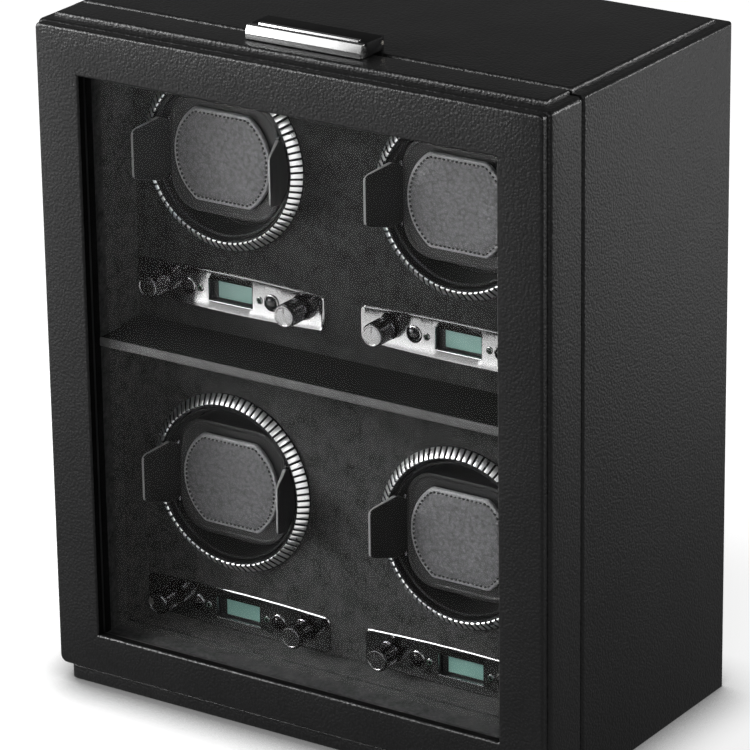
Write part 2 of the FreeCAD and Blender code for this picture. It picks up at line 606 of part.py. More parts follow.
slab_ring = frame_ring("slab_ring", (f"{HALF} - slab_inset", DOOR_LOW, DOOR_HIGH),
                       ("window_width / 2", "window_low", "window_high"), "0", "slab_depth")
slab_front = measure(from_middle("0"))
keep(soften("door_front_panel", slab_ring, "slab_round", lambda edge: on_plane(edge, "y", slab_front)))
keep(frame_ring("glass_gasket", (GLASS_HALF, GLASS_LOW, GLASS_HIGH),
                ("window_width / 2 + gasket_lip", "window_low - gasket_lip", "window_high + gasket_lip"),
                "slab_depth", GLASS_FRONT))
keep(block("door_glass", f"-({GLASS_HALF})", GLASS_HALF, GLASS_FRONT, f"{GLASS_FRONT} + glass_depth",
           GLASS_LOW, GLASS_HIGH))
KEEPER = ("- keeper_width / 2", "keeper_width / 2", "keeper_front", "keeper_back",
          f"{COVER_TOP} - keeper_thick")
keep(cut("door_top_cover", leather_cover("door_cover_soft", "slab_depth + cover_inset", "door_depth"),
         block("keeper_seat", *KEEPER, f"{COVER_TOP} + 1")))
keep(block("latch_keeper", *KEEPER, COVER_TOP))

# Hinges on the left-hand seam: two leaves with interlocking knuckles on a pin
KNUCKLE = f"hinge_length / {HINGE_KNUCKLES}"


def hinge_leaf(label, low, mine, leaf_front, bore):
    """One leaf with the knuckles numbered in mine; the other leaf's knuckles turn in the gaps."""
    leaf_back = f"{leaf_front} + leaf_thick"
    parts = [block(label + "_plate", f"{HINGE_X} + leaf_start", f"{HINGE_X} + leaf_reach",
                   leaf_front, leaf_back, low, f"{low} + hinge_length")]
    for number in mine:
        start = f"{low} + {number} * {KNUCKLE} + knuckle_gap"
        length = f"{KNUCKLE} - 2 * knuckle_gap"
        barrel = rod(f"{label}_barrel_{number}", "z", "hinge_barrel", length, HINGE_X, HINGE_DEPTH, start)
        tab = block(f"{label}_tab_{number}", f"{HINGE_X} + leaf_root", f"{HINGE_X} + leaf_start + 1",
                    leaf_front, leaf_back, start, f"{start} + {length}")
        parts += [barrel, tab]
    hole = rod(label + "_bore", "z", bore, "hinge_length + 2", HINGE_X, HINGE_DEPTH, f"{low} - 1")
    return cut(label, fuse(label + "_whole", *parts), hole)


keep(group("hinge_leaves_body", [
    hinge_leaf(f"hinge_leaf_body_{name}", low, (0, 2, 4), f"{BODY_FRONT} - leaf_thick", "hinge_pin")
    for name, low in HINGES]))
keep(group("hinge_leaves_door", [
    hinge_leaf(f"hinge_leaf_door_{name}", low, (1, 3), "door_depth", "hinge_pin + hinge_gap")
    for name, low in HINGES]))
keep(group("hinge_pins", [
    rod(f"hinge_pin_{name}", "z", "hinge_pin", "hinge_length", HINGE_X, HINGE_DEPTH, low)
    for name, low in HINGES]))

# Latch: a flap on the cabinet top that lies over the seam and holds the door's steel keeper
LATCH_HALF = "latch_width / 2"
POCKET_HALF = "latch_width / 2 - latch_wall"
FOOT_HALF = "latch_width / 2 - latch_wall - latch_foot_clear"
BAR_BACK = "latch_front + latch_bar_depth"
FLAP_TOP = f"{LATCH_BOTTOM} + latch_flap_height"
latch_foot = block("latch_foot", f"-({FOOT_HALF})", FOOT_HALF, "latch_foot_front",
                   "latch_pivot_depth + latch_knuckle", COVER_TOP, f"{COVER_TOP} + latch_foot_thick")
latch_neck = block("latch_neck", f"-({FOOT_HALF})", FOOT_HALF, "latch_pivot_depth - latch_knuckle",
                   "latch_pivot_depth + latch_knuckle", COVER_TOP, LATCH_PIVOT)
latch_knuckle = rod("latch_knuckle_bar", "x", "latch_knuckle", f"2 * ({FOOT_HALF})", f"-({FOOT_HALF})",
                    "latch_pivot_depth", LATCH_PIVOT)
latch_bore = rod("latch_bore", "x", "latch_pin", f"2 * ({LATCH_HALF})", f"-({LATCH_HALF})",
                 "latch_pivot_depth", LATCH_PIVOT)
keep(cut("latch_base", fuse("latch_base_whole", latch_foot, latch_neck, latch_knuckle), latch_bore))
keep(rod("latch_pin", "x", "latch_pin", f"2 * ({LATCH_HALF})", f"-({LATCH_HALF})",
         "latch_pivot_depth", LATCH_PIVOT))
flap_block = block("flap_block", f"-({LATCH_HALF})", LATCH_HALF, BAR_BACK, "latch_back", LATCH_BOTTOM, FLAP_TOP)
flap_pocket = block("flap_pocket", f"-({POCKET_HALF})", POCKET_HALF, "latch_pocket_front", "latch_back + 1",
                    f"{LATCH_BOTTOM} - 1", f"{LATCH_PIVOT} + latch_pocket_up")
flap_bore = rod("flap_bore", "x", "latch_pin + run_gap", "latch_width + 2", f"-({LATCH_HALF}) - 1",
                "latch_pivot_depth", LATCH_PIVOT)
keep(cut("latch_flap", flap_block, flap_pocket, flap_bore))
bar_block = block("bar_block", f"-({LATCH_HALF})", LATCH_HALF, "latch_front", BAR_BACK, LATCH_BOTTOM,
                  f"{LATCH_BOTTOM} + latch_height")
bar_front = measure(from_middle("latch_front"))
bar_soft = soften("bar_soft", bar_block, "slab_round", lambda edge: on_plane(edge, "y", bar_front))
bar_ridge = block("bar_ridge", f"-({LATCH_HALF} - latch_ridge_inset)", f"{LATCH_HALF} - latch_ridge_inset",
                  f"{BAR_BACK} - 1", f"{BAR_BACK} + latch_ridge_depth",
                  FLAP_TOP, f"{FLAP_TOP} + latch_ridge_height")
keep(fuse("latch_bar", bar_soft, bar_ridge))

# Every object must be sound before anything is written.
doc.recompute()
for item in doc.Objects:
    if {"Invalid", "Error"} & set(item.State):
        raise RuntimeError(f"{item.Name} failed: {item.State}")
os.makedirs("parts", exist_ok=True)
for item in pieces:
    if item.Shape.isNull() or not item.Shape.isValid() or not item.Shape.Solids:
        raise RuntimeError(f"{item.Name} has no sound solid")
    item.Label = item.Name
    item.Shape.exportStep(f"parts/{item.Label}.step")
    print(f"{item.Label}: {len(item.Shape.Solids)} solid(s), {item.Shape.Volume / 1000:.2f} cm3")
print(f"{len(pieces)} nodes")
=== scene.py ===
# %% [markdown]
# # A watch winder box
# The hard shapes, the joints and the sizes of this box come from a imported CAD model, which is loaded here
# as a fixed frame. Blender adds what CAD leaves out: soft edges, stitched pads, leather, suede, chrome
# and glass. Every size below is in millimetres until it is multiplied by MM, because the frame is in
# metres.

# %% Load the frame
import math

import bmesh
import bpy
from mathutils import Matrix, Vector


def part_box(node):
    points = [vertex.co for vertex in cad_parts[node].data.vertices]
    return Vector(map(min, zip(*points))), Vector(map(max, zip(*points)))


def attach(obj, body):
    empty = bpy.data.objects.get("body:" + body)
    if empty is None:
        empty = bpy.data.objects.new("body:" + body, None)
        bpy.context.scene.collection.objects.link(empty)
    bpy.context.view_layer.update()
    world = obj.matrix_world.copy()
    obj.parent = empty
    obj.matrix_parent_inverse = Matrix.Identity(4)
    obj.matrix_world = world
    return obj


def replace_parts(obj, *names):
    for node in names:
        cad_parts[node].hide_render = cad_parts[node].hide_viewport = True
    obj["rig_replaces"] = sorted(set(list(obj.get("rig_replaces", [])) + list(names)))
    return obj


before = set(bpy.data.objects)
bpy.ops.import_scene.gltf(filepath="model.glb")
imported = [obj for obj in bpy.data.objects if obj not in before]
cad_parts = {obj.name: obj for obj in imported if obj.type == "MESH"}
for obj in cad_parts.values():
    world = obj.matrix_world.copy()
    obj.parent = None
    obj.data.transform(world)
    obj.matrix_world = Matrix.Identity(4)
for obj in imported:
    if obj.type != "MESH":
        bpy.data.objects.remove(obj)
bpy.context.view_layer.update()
MM = 0.001
DEPTH_ZERO = -96

# %% [markdown]
# ## The camera
# The view was worked out from the box's own straight edges: the camera stands to the right of the front, a
# little above it and far away, so a long lens keeps the upright edges nearly parallel. The camera is built
# from its angles, because angles are easier to read and to change than a matrix.

# %% Camera
TURN, TILT, ROLL = (math.radians(angle) for angle in (33.871, 20.886, -0.824))
AIM, AWAY, ASIDE, BELOW = Vector((0, 0, 200)), 2586.229, 5.6, 12.582
FOCAL_PIXELS, FRAME_PIXELS, SENSOR = 4669.93, 750, 36
back = Vector((math.sin(TURN) * math.cos(TILT), -math.cos(TURN) * math.cos(TILT), math.sin(TILT)))
level = (-back).cross(Vector((0, 0, 1))).normalized()
upright = level.cross(-back)
across = level * math.cos(ROLL) + upright * math.sin(ROLL)
upward = upright * math.cos(ROLL) - level * math.sin(ROLL)
eye = (AIM + back * AWAY - across * ASIDE - upward * BELOW) * MM
lens = bpy.data.cameras.new("camera")
lens.sensor_width = SENSOR
lens.lens = FOCAL_PIXELS * SENSOR / FRAME_PIXELS
camera = bpy.data.objects.new("camera", lens)
camera.matrix_world = Matrix.Translation(eye) @ Matrix((across, upward, back)).transposed().to_4x4()
bpy.context.scene.collection.objects.link(camera)
bpy.context.scene.camera = camera
bpy.context.scene.view_settings.view_transform = "Standard"
print("camera at", [round(v, 3) for v in eye], "lens", round(lens.lens, 1), "mm")

# %% [markdown]
# ## The studio
# A black glossy object is mostly seen by what it mirrors, so the studio matters as much as the finish.
# The floor is pale and is lit like any floor, which keeps the soft shadow. It also gets some light of its
# own, for the rays that come from the camera or from a mirror, so that it reads as white paper and never
# lights the box. Close to the foot of the box, an ambient occlusion node fades that light away and mixes
# in a dark grey, as a painted contact shadow for the rays from the camera.


# %% Colour and node helpers
def linear(code):
    """An sRGB hex colour as the linear numbers that shaders use."""
    parts = [int(code[i:i + 2], 16) / 255 for i in (1, 3, 5)]
    return tuple(c / 12.92 if c <= 0.04045 else ((c + 0.055) / 1.055) ** 2.4 for c in parts) + (1.0,)


def add(tree, kind, settings, inputs):
    """Add one node with its settings and inputs; an input is a value or another node's output."""
    node = tree.nodes.new(kind)
    for name, value in settings.items():
        setattr(node, name, value)
    for name, value in inputs.items():
        if isinstance(value, bpy.types.NodeSocket):
            tree.links.new(value, node.inputs[name])
        else:
            node.inputs[name].default_value = value
    return node


WHITE = (1, 1, 1, 1)
print("black leather in linear light:", [round(v, 4) for v in linear("#141415")[:3]])


# %% Floor
def select_none():
    """Deselect every object, because an operator acts on all that is selected."""
    bpy.ops.object.select_all(action="DESELECT")


def named(name):
    """Name the object that was just made."""
    piece = bpy.context.object
    piece.name = name
    piece.data.name = name
    return piece


CAMERA_LIFT, GLOSS_LIFT, FOOT_REACH = 0.6, 0.03, 0.042
select_none()
bpy.ops.mesh.primitive_plane_add(size=40, location=(0, 0, -0.0003))
floor = named("floor")
paper = bpy.data.materials.new("white paper floor")
paper.use_nodes = True
tree = paper.node_tree
tree.nodes.clear()
rays = add(tree, "ShaderNodeLightPath", {}, {})
seen = add(tree, "ShaderNodeMath", {"operation": "MAXIMUM"},
           {0: rays.outputs["Is Camera Ray"], 1: rays.outputs["Is Transmission Ray"]})
direct = add(tree, "ShaderNodeMath", {"operation": "LESS_THAN"}, {0: rays.outputs["Diffuse Depth"], 1: 0.5})
shown = add(tree, "ShaderNodeMath", {"operation": "MULTIPLY"}, {0: seen.outputs[0], 1: direct.outputs[0]})
mirrored = add(tree, "ShaderNodeMath", {"operation": "MULTIPLY"},
               {0: rays.outputs["Is Glossy Ray"], 1: GLOSS_LIFT})
lift = add(tree, "ShaderNodeMath", {"operation": "MULTIPLY_ADD"},
           {0: shown.outputs[0], 1: CAMERA_LIFT, 2: mirrored.outputs[0]})
glow = add(tree, "ShaderNodeEmission", {}, {"Color": WHITE, "Strength": lift.outputs[0]})
paler = add(tree, "ShaderNodeMix", {"data_type": "RGBA"},
            {0: shown.outputs[0], 6: linear("#8a8a8a"), 7: linear("#dcdcdc")})
matt = add(tree, "ShaderNodeBsdfDiffuse", {}, {"Color": paler.outputs[2], "Roughness": 0.3})
lit = add(tree, "ShaderNodeAddShader", {}, {0: matt.outputs[0], 1: glow.outputs[0]})
# Painted shadow: near the box's foot, ambient occlusion mixes in a dark grey for camera rays.
hidden = add(tree, "ShaderNodeAmbientOcclusion", {"samples": 8}, {"Distance": FOOT_REACH})
painted_shadow_amount = add(tree, "ShaderNodeMapRange", {},
            {"Value": hidden.outputs["AO"], "From Min": 0.45, "From Max": 0.95,
             "To Min": 0.85, "To Max": 0.0})
foot = add(tree, "ShaderNodeMath", {"operation": "MULTIPLY"}, {0: painted_shadow_amount.outputs[0], 1: shown.outputs[0]})
shadow = add(tree, "ShaderNodeBsdfDiffuse", {}, {"Color": linear("#202020")})
sheet = add(tree, "ShaderNodeMixShader", {}, {0: foot.outputs[0], 1: lit.outputs[0], 2: shadow.outputs[0]})
add(tree, "ShaderNodeOutputMaterial", {}, {"Surface": sheet.outputs[0]})
floor.data.materials.append(paper)
print("floor with", len(tree.nodes), "nodes")

# %% Room
ROOM_LIGHT, WALL_LIGHT = 0.14, 1.0
world = bpy.data.worlds.new("studio room")
bpy.context.scene.world = world
world.use_nodes = True
tree = world.node_tree
tree.nodes.clear()
rays = add(tree, "ShaderNodeLightPath", {}, {})
room = add(tree, "ShaderNodeBackground", {}, {"Color": WHITE, "Strength": ROOM_LIGHT})
wall = add(tree, "ShaderNodeBackground", {}, {"Color": WHITE, "Strength": WALL_LIGHT})
shown = add(tree, "ShaderNodeMixShader", {},
            {0: rays.outputs["Is Camera Ray"], 1: room.outputs[0], 2: wall.outputs[0]})
add(tree, "ShaderNodeOutputWorld", {}, {"Surface": shown.outputs[0]})
print("room light", ROOM_LIGHT)


# %% Lamps
def softbox(name, place, target, width, height, power):
    """A rectangular lamp at place that faces target."""
    lamp = bpy.data.lights.new(name, "AREA")
    lamp.shape = "RECTANGLE"
    lamp.size = width
    lamp.size_y = height
    lamp.energy = power
    holder = bpy.data.objects.new(name, lamp)
    holder.location = place
    holder.rotation_euler = (Vector(target) - Vector(place)).to_track_quat("-Z", "Y").to_euler()
    bpy.context.scene.collection.objects.link(holder)


softbox("key softbox", (-1.3, -1.6, 1.15), (0, 0, 0.25), 1.4, 1.2, 27)
softbox("right fill softbox", (1.1, -1.5, 0.75), (-0.1, 0, 0.25), 0.8, 0.8, 5)
softbox("left floor softbox", (-1.2, -0.85, 0.65), (-1.15, -0.8, 0), 0.6, 0.8, 38)
softbox("right floor softbox", (1.15, 1.15, 0.6), (1.1, 1.1, 0), 0.6, 0.6, 34)

# %% [markdown]
# ## Finishes
# Each finish starts from what the real material is. A Principled shader carries the numbers that are the
# same everywhere, and textures on Object coordinates carry what changes across the surface. Object
# coordinates are in metres, so a pattern's scale is one divided by its real size.


# %% A new finish
def finish(name, sockets):
    """A Principled material with its constant sockets set, its tree, its shader and Object coordinates."""
    made = bpy.data.materials.new(name)
    made.use_nodes = True
    tree = made.node_tree
    shader = tree.nodes["Principled BSDF"]
    for socket, value in sockets.items():
        shader.inputs[socket].default_value = value
    return made, tree, shader, add(tree, "ShaderNodeTexCoord", {}, {}).outputs["Object"]


def grain(size):
    """Texture scale for a pattern whose cells are size millimetres wide."""
    return 1 / (size * MM)


print("a 1.5 mm grain is scale", round(grain(1.5)))

# %% [markdown]
# ### Black pebbled leather
# The cabinet is wrapped in black bonded leather, embossed with a fine pebble. Cells about 1.5 mm wide
# give the pebbles, a second finer layer roughens them, and slow noise varies the polish, so highlights
# break up. The pads are a softer grey calf with wider cells. Along their edge and seam a paler, smoother
# copy of the calf is used as a painted highlight.


# %% Leather
def pebbled_leather(name, low, high, cell, depth, gloss):
    made, tree, shader, where = finish(name, {"Specular IOR Level": 0.5, "IOR": 1.5})
    warp = add(tree, "ShaderNodeTexNoise", {}, {"Vector": where, "Scale": grain(6), "Detail": 2.0})
    bent = add(tree, "ShaderNodeVectorMath", {"operation": "MULTIPLY_ADD"},
               {0: warp.outputs["Color"], 1: (0.0012, 0.0012, 0.0012), 2: where})
    cells = add(tree, "ShaderNodeTexVoronoi", {"feature": "SMOOTH_F1"},
                {"Vector": bent.outputs[0], "Scale": grain(cell), "Smoothness": 0.6})
    fine = add(tree, "ShaderNodeTexNoise", {}, {"Vector": where, "Scale": grain(0.7), "Detail": 3.0})
    shade = add(tree, "ShaderNodeValToRGB", {}, {"Fac": cells.outputs["Distance"]})
    shade.color_ramp.elements[0].position = 0.1
    shade.color_ramp.elements[0].color = linear(high)
    shade.color_ramp.elements[1].position = 0.75
    shade.color_ramp.elements[1].color = linear(low)
    tree.links.new(shade.outputs["Color"], shader.inputs["Base Color"])
    polish = add(tree, "ShaderNodeTexNoise", {}, {"Vector": where, "Scale": grain(35), "Detail": 3.0})
    rough = add(tree, "ShaderNodeMapRange", {},
                {"Value": polish.outputs["Fac"], "From Min": 0.3, "From Max": 0.7,
                 "To Min": gloss - 0.03, "To Max": gloss + 0.03})
    tree.links.new(rough.outputs["Result"], shader.inputs["Roughness"])
    pebble = add(tree, "ShaderNodeBump", {"invert": True},
                 {"Height": cells.outputs["Distance"], "Strength": 1.0, "Distance": depth * MM})
    tooth = add(tree, "ShaderNodeBump", {},
                {"Height": fine.outputs["Fac"], "Strength": 0.25, "Distance": 0.12 * MM,
                 "Normal": pebble.outputs["Normal"]})
    tree.links.new(tooth.outputs["Normal"], shader.inputs["Normal"])
    return made


black_leather = pebbled_leather("black bonded leather", "#090909", "#141415", 1.5, 0.26, 0.38)
pad_leather = pebbled_leather("grey calf leather", "#333334", "#4f4f51", 2.1, 0.42, 0.6)
# Painted highlight: a paler, smoother copy of the calf for the pads' edge and seam.
painted_highlight_leather = pebbled_leather("grey calf with painted highlight", "#5c5c5d", "#767677", 1.2, 0.15, 0.36)
dark_thread = pebbled_leather("waxed black thread", "#030303", "#090909", 0.4, 0.1, 0.7)
print([m.name for m in (black_leather, pad_leather, painted_highlight_leather, dark_thread)])

# %% [markdown]
# ### Suede
# The inside is lined with microfibre suede. Its nap scatters light, so it has full roughness and some
# sheen, and brushing leaves paler and darker patches about a centimetre wide. The upper panel gets a
# darker copy of the suede as painted shade, and the lining beside the glass is black.


# %% Suede
def suede(name, low, high, patch, sheen):
    made, tree, shader, where = finish(name, {"Roughness": 0.95, "Specular IOR Level": 0.04,
                                              "Sheen Weight": sheen, "Sheen Roughness": 0.5})
    brushed = add(tree, "ShaderNodeTexNoise", {}, {"Vector": where, "Scale": grain(patch), "Detail": 4.0,
                                                   "Roughness": 0.7})
    nap = add(tree, "ShaderNodeTexNoise", {}, {"Vector": where, "Scale": grain(2.2), "Detail": 4.0})
    both = add(tree, "ShaderNodeMix", {"data_type": "FLOAT"},
               {0: 0.45, 2: brushed.outputs["Fac"], 3: nap.outputs["Fac"]})
    shade = add(tree, "ShaderNodeValToRGB", {}, {"Fac": both.outputs[0]})
    shade.color_ramp.elements[0].position = 0.36
    shade.color_ramp.elements[0].color = linear(low)
    shade.color_ramp.elements[1].position = 0.64
    shade.color_ramp.elements[1].color = linear(high)
    tree.links.new(shade.outputs["Color"], shader.inputs["Base Color"])
    fuzz = add(tree, "ShaderNodeBump", {},
               {"Height": nap.outputs["Fac"], "Strength": 0.5, "Distance": 0.3 * MM})
    tree.links.new(fuzz.outputs["Normal"], shader.inputs["Normal"])
    return made


panel_suede = suede("charcoal suede", "#161616", "#363636", 9, 0.05)
# Painted shade: a darker copy of the suede for the upper winder panel.
painted_shade_suede = suede("charcoal suede with painted shade", "#0f0f0f", "#292929", 9, 0.04)
# Painted light: a paler grey suede for the shelf's front edge.
shelf_suede = suede("grey suede with painted light", "#3e3e3e", "#4f4f4f", 12, 0.05)
# Black lining beside the glass; on the shelf's top the same suede is painted shade.
black_lining_and_shade_suede = suede("black suede lining and painted shade", "#080808", "#121212", 12, 0.0)
print([m.name for m in (panel_suede, painted_shade_suede, shelf_suede, black_lining_and_shade_suede)])

# %% [markdown]
# ### Chrome and other metals
# The rings, plates and latch are plated zinc castings. Plating is a mirror, but a real one is never
# perfect: very faint ripples and wipe marks change its roughness by a few hundredths. The bars of the
# rings are rounded over, so their chrome is rougher, which spreads each highlight as a rounded bar does.


# %% Metals
def metal(name, colour, low, high, streak):
    made, tree, shader, where = finish(name, {"Metallic": 1.0, "Base Color": linear(colour)})
    wiped = add(tree, "ShaderNodeTexNoise", {}, {"Vector": where, "Scale": grain(streak), "Detail": 4.0})
    rough = add(tree, "ShaderNodeMapRange", {},
                {"Value": wiped.outputs["Fac"], "From Min": 0.3, "From Max": 0.7,
                 "To Min": low, "To Max": high})
    tree.links.new(rough.outputs["Result"], shader.inputs["Roughness"])
    ripple = add(tree, "ShaderNodeBump", {},
                 {"Height": wiped.outputs["Fac"], "Strength": 0.04, "Distance": 0.1 * MM})
    tree.links.new(ripple.outputs["Normal"], shader.inputs["Normal"])
    return made


bezel_chrome = metal("bright fluted chrome", "#e0e0e0", 0.26, 0.34, 6)
plate_chrome = metal("satin chrome plate", "#9a9a9a", 0.08, 0.15, 6)
latch_chrome = metal("latch chrome plate", "#868686", 0.18, 0.28, 9)
knob_chrome = metal("dark chrome plate", "#4e4e50", 0.07, 0.13, 4)
nickel = metal("nickel-plated steel", "#b4b0a8", 0.22, 0.34, 5)
zinc = metal("zinc-plated steel", "#9aa0a4", 0.35, 0.5, 4)
bronze = metal("sintered bronze", "#8a6a3e", 0.45, 0.6, 1.5)
print([m.name for m in (bezel_chrome, plate_chrome, latch_chrome, knob_chrome, nickel, zinc, bronze)])

# %% [markdown]
# ### Plastics, the display and the glass
# Moulded plastic shows a fine spark-eroded texture where it is satin and almost none where it is glossy.
# The display is a cloudy teal, and a faint glow is painted into it, though it gives no light of its own.
# The glass lets shadow rays straight through, and its index is set low, so that it mirrors as little as
# coated glass does.


# %% Plastics
def plastic(name, colour, rough, tooth, bump, shine=0.5):
    made, tree, shader, where = finish(name, {"IOR": 1.49, "Specular IOR Level": shine})
    spark = add(tree, "ShaderNodeTexNoise", {}, {"Vector": where, "Scale": grain(tooth), "Detail": 3.0})
    worn = add(tree, "ShaderNodeTexNoise", {}, {"Vector": where, "Scale": grain(18), "Detail": 3.0})
    shade = add(tree, "ShaderNodeMix", {"data_type": "RGBA", "blend_type": "MULTIPLY"},
                {0: 0.25, 6: linear(colour), 7: worn.outputs["Fac"]})
    tree.links.new(shade.outputs[2], shader.inputs["Base Color"])
    gloss = add(tree, "ShaderNodeMapRange", {},
                {"Value": worn.outputs["Fac"], "From Min": 0.3, "From Max": 0.7,
                 "To Min": rough - 0.04, "To Max": rough + 0.05})
    tree.links.new(gloss.outputs["Result"], shader.inputs["Roughness"])
    skin = add(tree, "ShaderNodeBump", {},
               {"Height": spark.outputs["Fac"], "Strength": bump, "Distance": 0.1 * MM})
    tree.links.new(skin.outputs["Normal"], shader.inputs["Normal"])
    return made


satin_black = plastic("satin black ABS", "#0b0b0c", 0.38, 0.6, 0.12, 0.25)
# Painted highlight: a paler grey for the wings' front and upward faces.
painted_highlight_plastic = plastic("grey ABS with painted highlight", "#7a7a7a", 0.3, 0.6, 0.05)
drum_black_and_shade = plastic("black drum ABS and painted shade", "#09090a", 0.5, 0.7, 0.15, 0.14)
gloss_black = plastic("gloss black acrylic", "#0b0b0c", 0.1, 2.0, 0.02)
jack_black = plastic("black nylon", "#151515", 0.5, 0.6, 0.15)
rubber = plastic("black rubber gasket", "#0d0d0d", 0.6, 0.8, 0.2)
laminate = plastic("green circuit laminate", "#1f4a33", 0.4, 3.0, 0.1)
print([m.name for m in (satin_black, drum_black_and_shade, gloss_black, jack_black, rubber, laminate)])

# %% Display and glass
# Painted glow: the display is no lamp, but it emits a faint teal.
display, tree, shader, where = finish("teal liquid crystal display with painted glow",
                                      {"Roughness": 0.2, "IOR": 1.5, "Emission Strength": 0.25})
cloud = add(tree, "ShaderNodeTexNoise", {}, {"Vector": where, "Scale": grain(14), "Detail": 2.0})
tint = add(tree, "ShaderNodeValToRGB", {}, {"Fac": cloud.outputs["Fac"]})
tint.color_ramp.elements[0].color = linear("#48635d")
tint.color_ramp.elements[1].color = linear("#627f78")
tree.links.new(tint.outputs["Color"], shader.inputs["Base Color"])
tree.links.new(tint.outputs["Color"], shader.inputs["Emission Color"])

glass, tree, shader, _ = finish("clear float glass", {"Base Color": WHITE, "Transmission Weight": 1.0,
                                                      "Roughness": 0.0, "IOR": 1.12})
rays = add(tree, "ShaderNodeLightPath", {}, {})
clear = add(tree, "ShaderNodeBsdfTransparent", {}, {"Color": (0.96, 0.97, 0.97, 1)})
passing = add(tree, "ShaderNodeMixShader", {},
              {0: rays.outputs["Is Shadow Ray"], 1: shader.outputs[0], 2: clear.outputs[0]})
tree.links.new(passing.outputs[0], tree.nodes["Material Output"].inputs["Surface"])
print(display.name, "and", glass.name)

# %% [markdown]
# ## CAD nodes that stay
# Where the CAD shape is already right, the node keeps its mesh and only gets a better finish.

# %% Finishes for CAD nodes
KEPT_FINISHES = {
    "top_board": black_leather, "back_panel": satin_black, "compartment_lining": panel_suede,
    # The upper winder panel takes the suede with painted shade.
    "winder_panel_lower": panel_suede, "winder_panel_upper": painted_shade_suede, "drive_brackets": zinc,
    "bearing_bushes": bronze, "gear_motors": zinc, "circuit_boards": laminate, "lcd_panels": display,
    "glass_gasket": rubber, "door_glass": glass, "latch_keeper": nickel, "hinge_leaves_body": nickel,
    "hinge_leaves_door": nickel, "hinge_pins": nickel, "latch_base": satin_black, "latch_pin": nickel,
}


def dress(mesh, *finishes):
    """Give a mesh these finishes and no others."""
    mesh.materials.clear()
    for made in finishes:
        mesh.materials.append(made)


for node, made in KEPT_FINISHES.items():
    dress(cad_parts[node].data, made)
print("dressed", len(KEPT_FINISHES), "nodes")

# %% [markdown]
# ## Selecting and editing from code
# Blender's operators act on whatever is selected. These helpers do what a hand would do with the mouse:
# pick one object, go into edit mode, and pick faces, edges or points by where they are and which way they
# face.


# %% Objects and modes
def only(piece):
    """Select one object and nothing else."""
    select_none()
    piece.select_set(True)
    bpy.context.view_layer.objects.active = piece


def edit(piece):
    only(piece)
    bpy.ops.object.mode_set(mode="EDIT")


def leave():
    bpy.ops.object.mode_set(mode="OBJECT")


print("modes ready")


# %% Faces, edges and points
def pick_all():
    bpy.ops.mesh.select_all(action="SELECT")


def pick(piece, kind, wanted):
    """In edit mode, select the faces, edges or points that pass the test."""
    bpy.ops.mesh.select_mode(type=kind)
    bpy.ops.mesh.select_all(action="DESELECT")
    shape = bmesh.from_edit_mesh(piece.data)
    for part in {"FACE": shape.faces, "EDGE": shape.edges, "VERT": shape.verts}[kind]:
        part.select_set(bool(wanted(part)))
    shape.select_flush_mode()
    bmesh.update_edit_mesh(piece.data)


def pick_faces(piece, wanted):
    """Select the faces whose middle and normal pass the test."""
    pick(piece, "FACE", lambda face: wanted(face.calc_center_median(), face.normal))


def pick_edges(piece, wanted):
    """Select the edges whose two ends pass the test."""
    pick(piece, "EDGE", lambda edge: wanted(edge.verts[0].co, edge.verts[1].co))


def pick_points(piece, wanted):
    """Select the points whose place passes the test."""
    pick(piece, "VERT", lambda point: wanted(point.co))


def face_out():
    """In edit mode, turn every face outwards."""
    pick_all()
    bpy.ops.mesh.normals_make_consistent(inside=False)


def thicken(distance):
    """In edit mode, extrude a flat sheet backwards into a solid."""
    pick_all()
    bpy.ops.mesh.extrude_region_move(TRANSFORM_OT_translate={"value": (0, distance * MM, 0)})
    face_out()


def bevel(width, segments, what="EDGES"):
    """In edit mode, round off what is selected."""
    bpy.ops.mesh.bevel(offset=width * MM, segments=segments, affect=what)


print("picking ready")

# %% [markdown]
# ## Leather-wrapped boards
# The cabinet's boards are wrapped in leather, so their outer edges are round where the leather folds
# over. A block with its outer edges bevelled is all that is needed. The left board has two notches for
# the hinges. A cut is made by a Boolean with a block, and a bevel softens edges, because no real edge is
# perfectly sharp.


# %% Places and blocks
def at(x, depth, z):
    """A point from millimetres across, behind the front face and above the table."""
    return Vector((x, depth + DEPTH_ZERO, z)) * MM


def near(value, target, slack=0.02):
    """True if a coordinate in metres lies on a target in millimetres."""
    return abs(value - target * MM) < slack * MM


def keep_place():
    """Put the object's place, turn and size into its mesh."""
    bpy.ops.object.transform_apply(location=True, rotation=True, scale=True)


def block(name, low, high):
    """A cube primitive between two corners."""
    low, high = Vector(low), Vector(high)
    select_none()
    bpy.ops.mesh.primitive_cube_add(size=1, location=(low + high) / 2, scale=high - low)
    keep_place()
    return named(name)


print("front face at", at(0, 0, 0).y, "m")


# %% Cutting and softening
def modify(piece, kind, **settings):
    """Add a modifier, set it and apply it."""
    only(piece)
    bpy.ops.object.modifier_add(type=kind)
    change = piece.modifiers[-1]
    for name, value in settings.items():
        setattr(change, name, value)
    bpy.ops.object.modifier_apply(modifier=change.name)


def carve(piece, *cutters):
    """Cut the cutters out of the piece and remove them."""
    for cutter in cutters:
        modify(piece, "BOOLEAN", operation="DIFFERENCE", solver="EXACT", object=cutter)
        bpy.data.objects.remove(cutter)


def smooth(piece, angle):
    """Shade smooth across every edge that is flatter than the angle."""
    only(piece)
    bpy.ops.object.shade_smooth_by_angle(angle=math.radians(angle))


def soften(piece, width, segments, angle):
    """Round every edge sharper than the angle, then shade the piece smooth."""
    modify(piece, "BEVEL", width=width * MM, segments=segments, limit_method="ANGLE",
           angle_limit=math.radians(angle))
    smooth(piece, angle)


print("cutting ready")


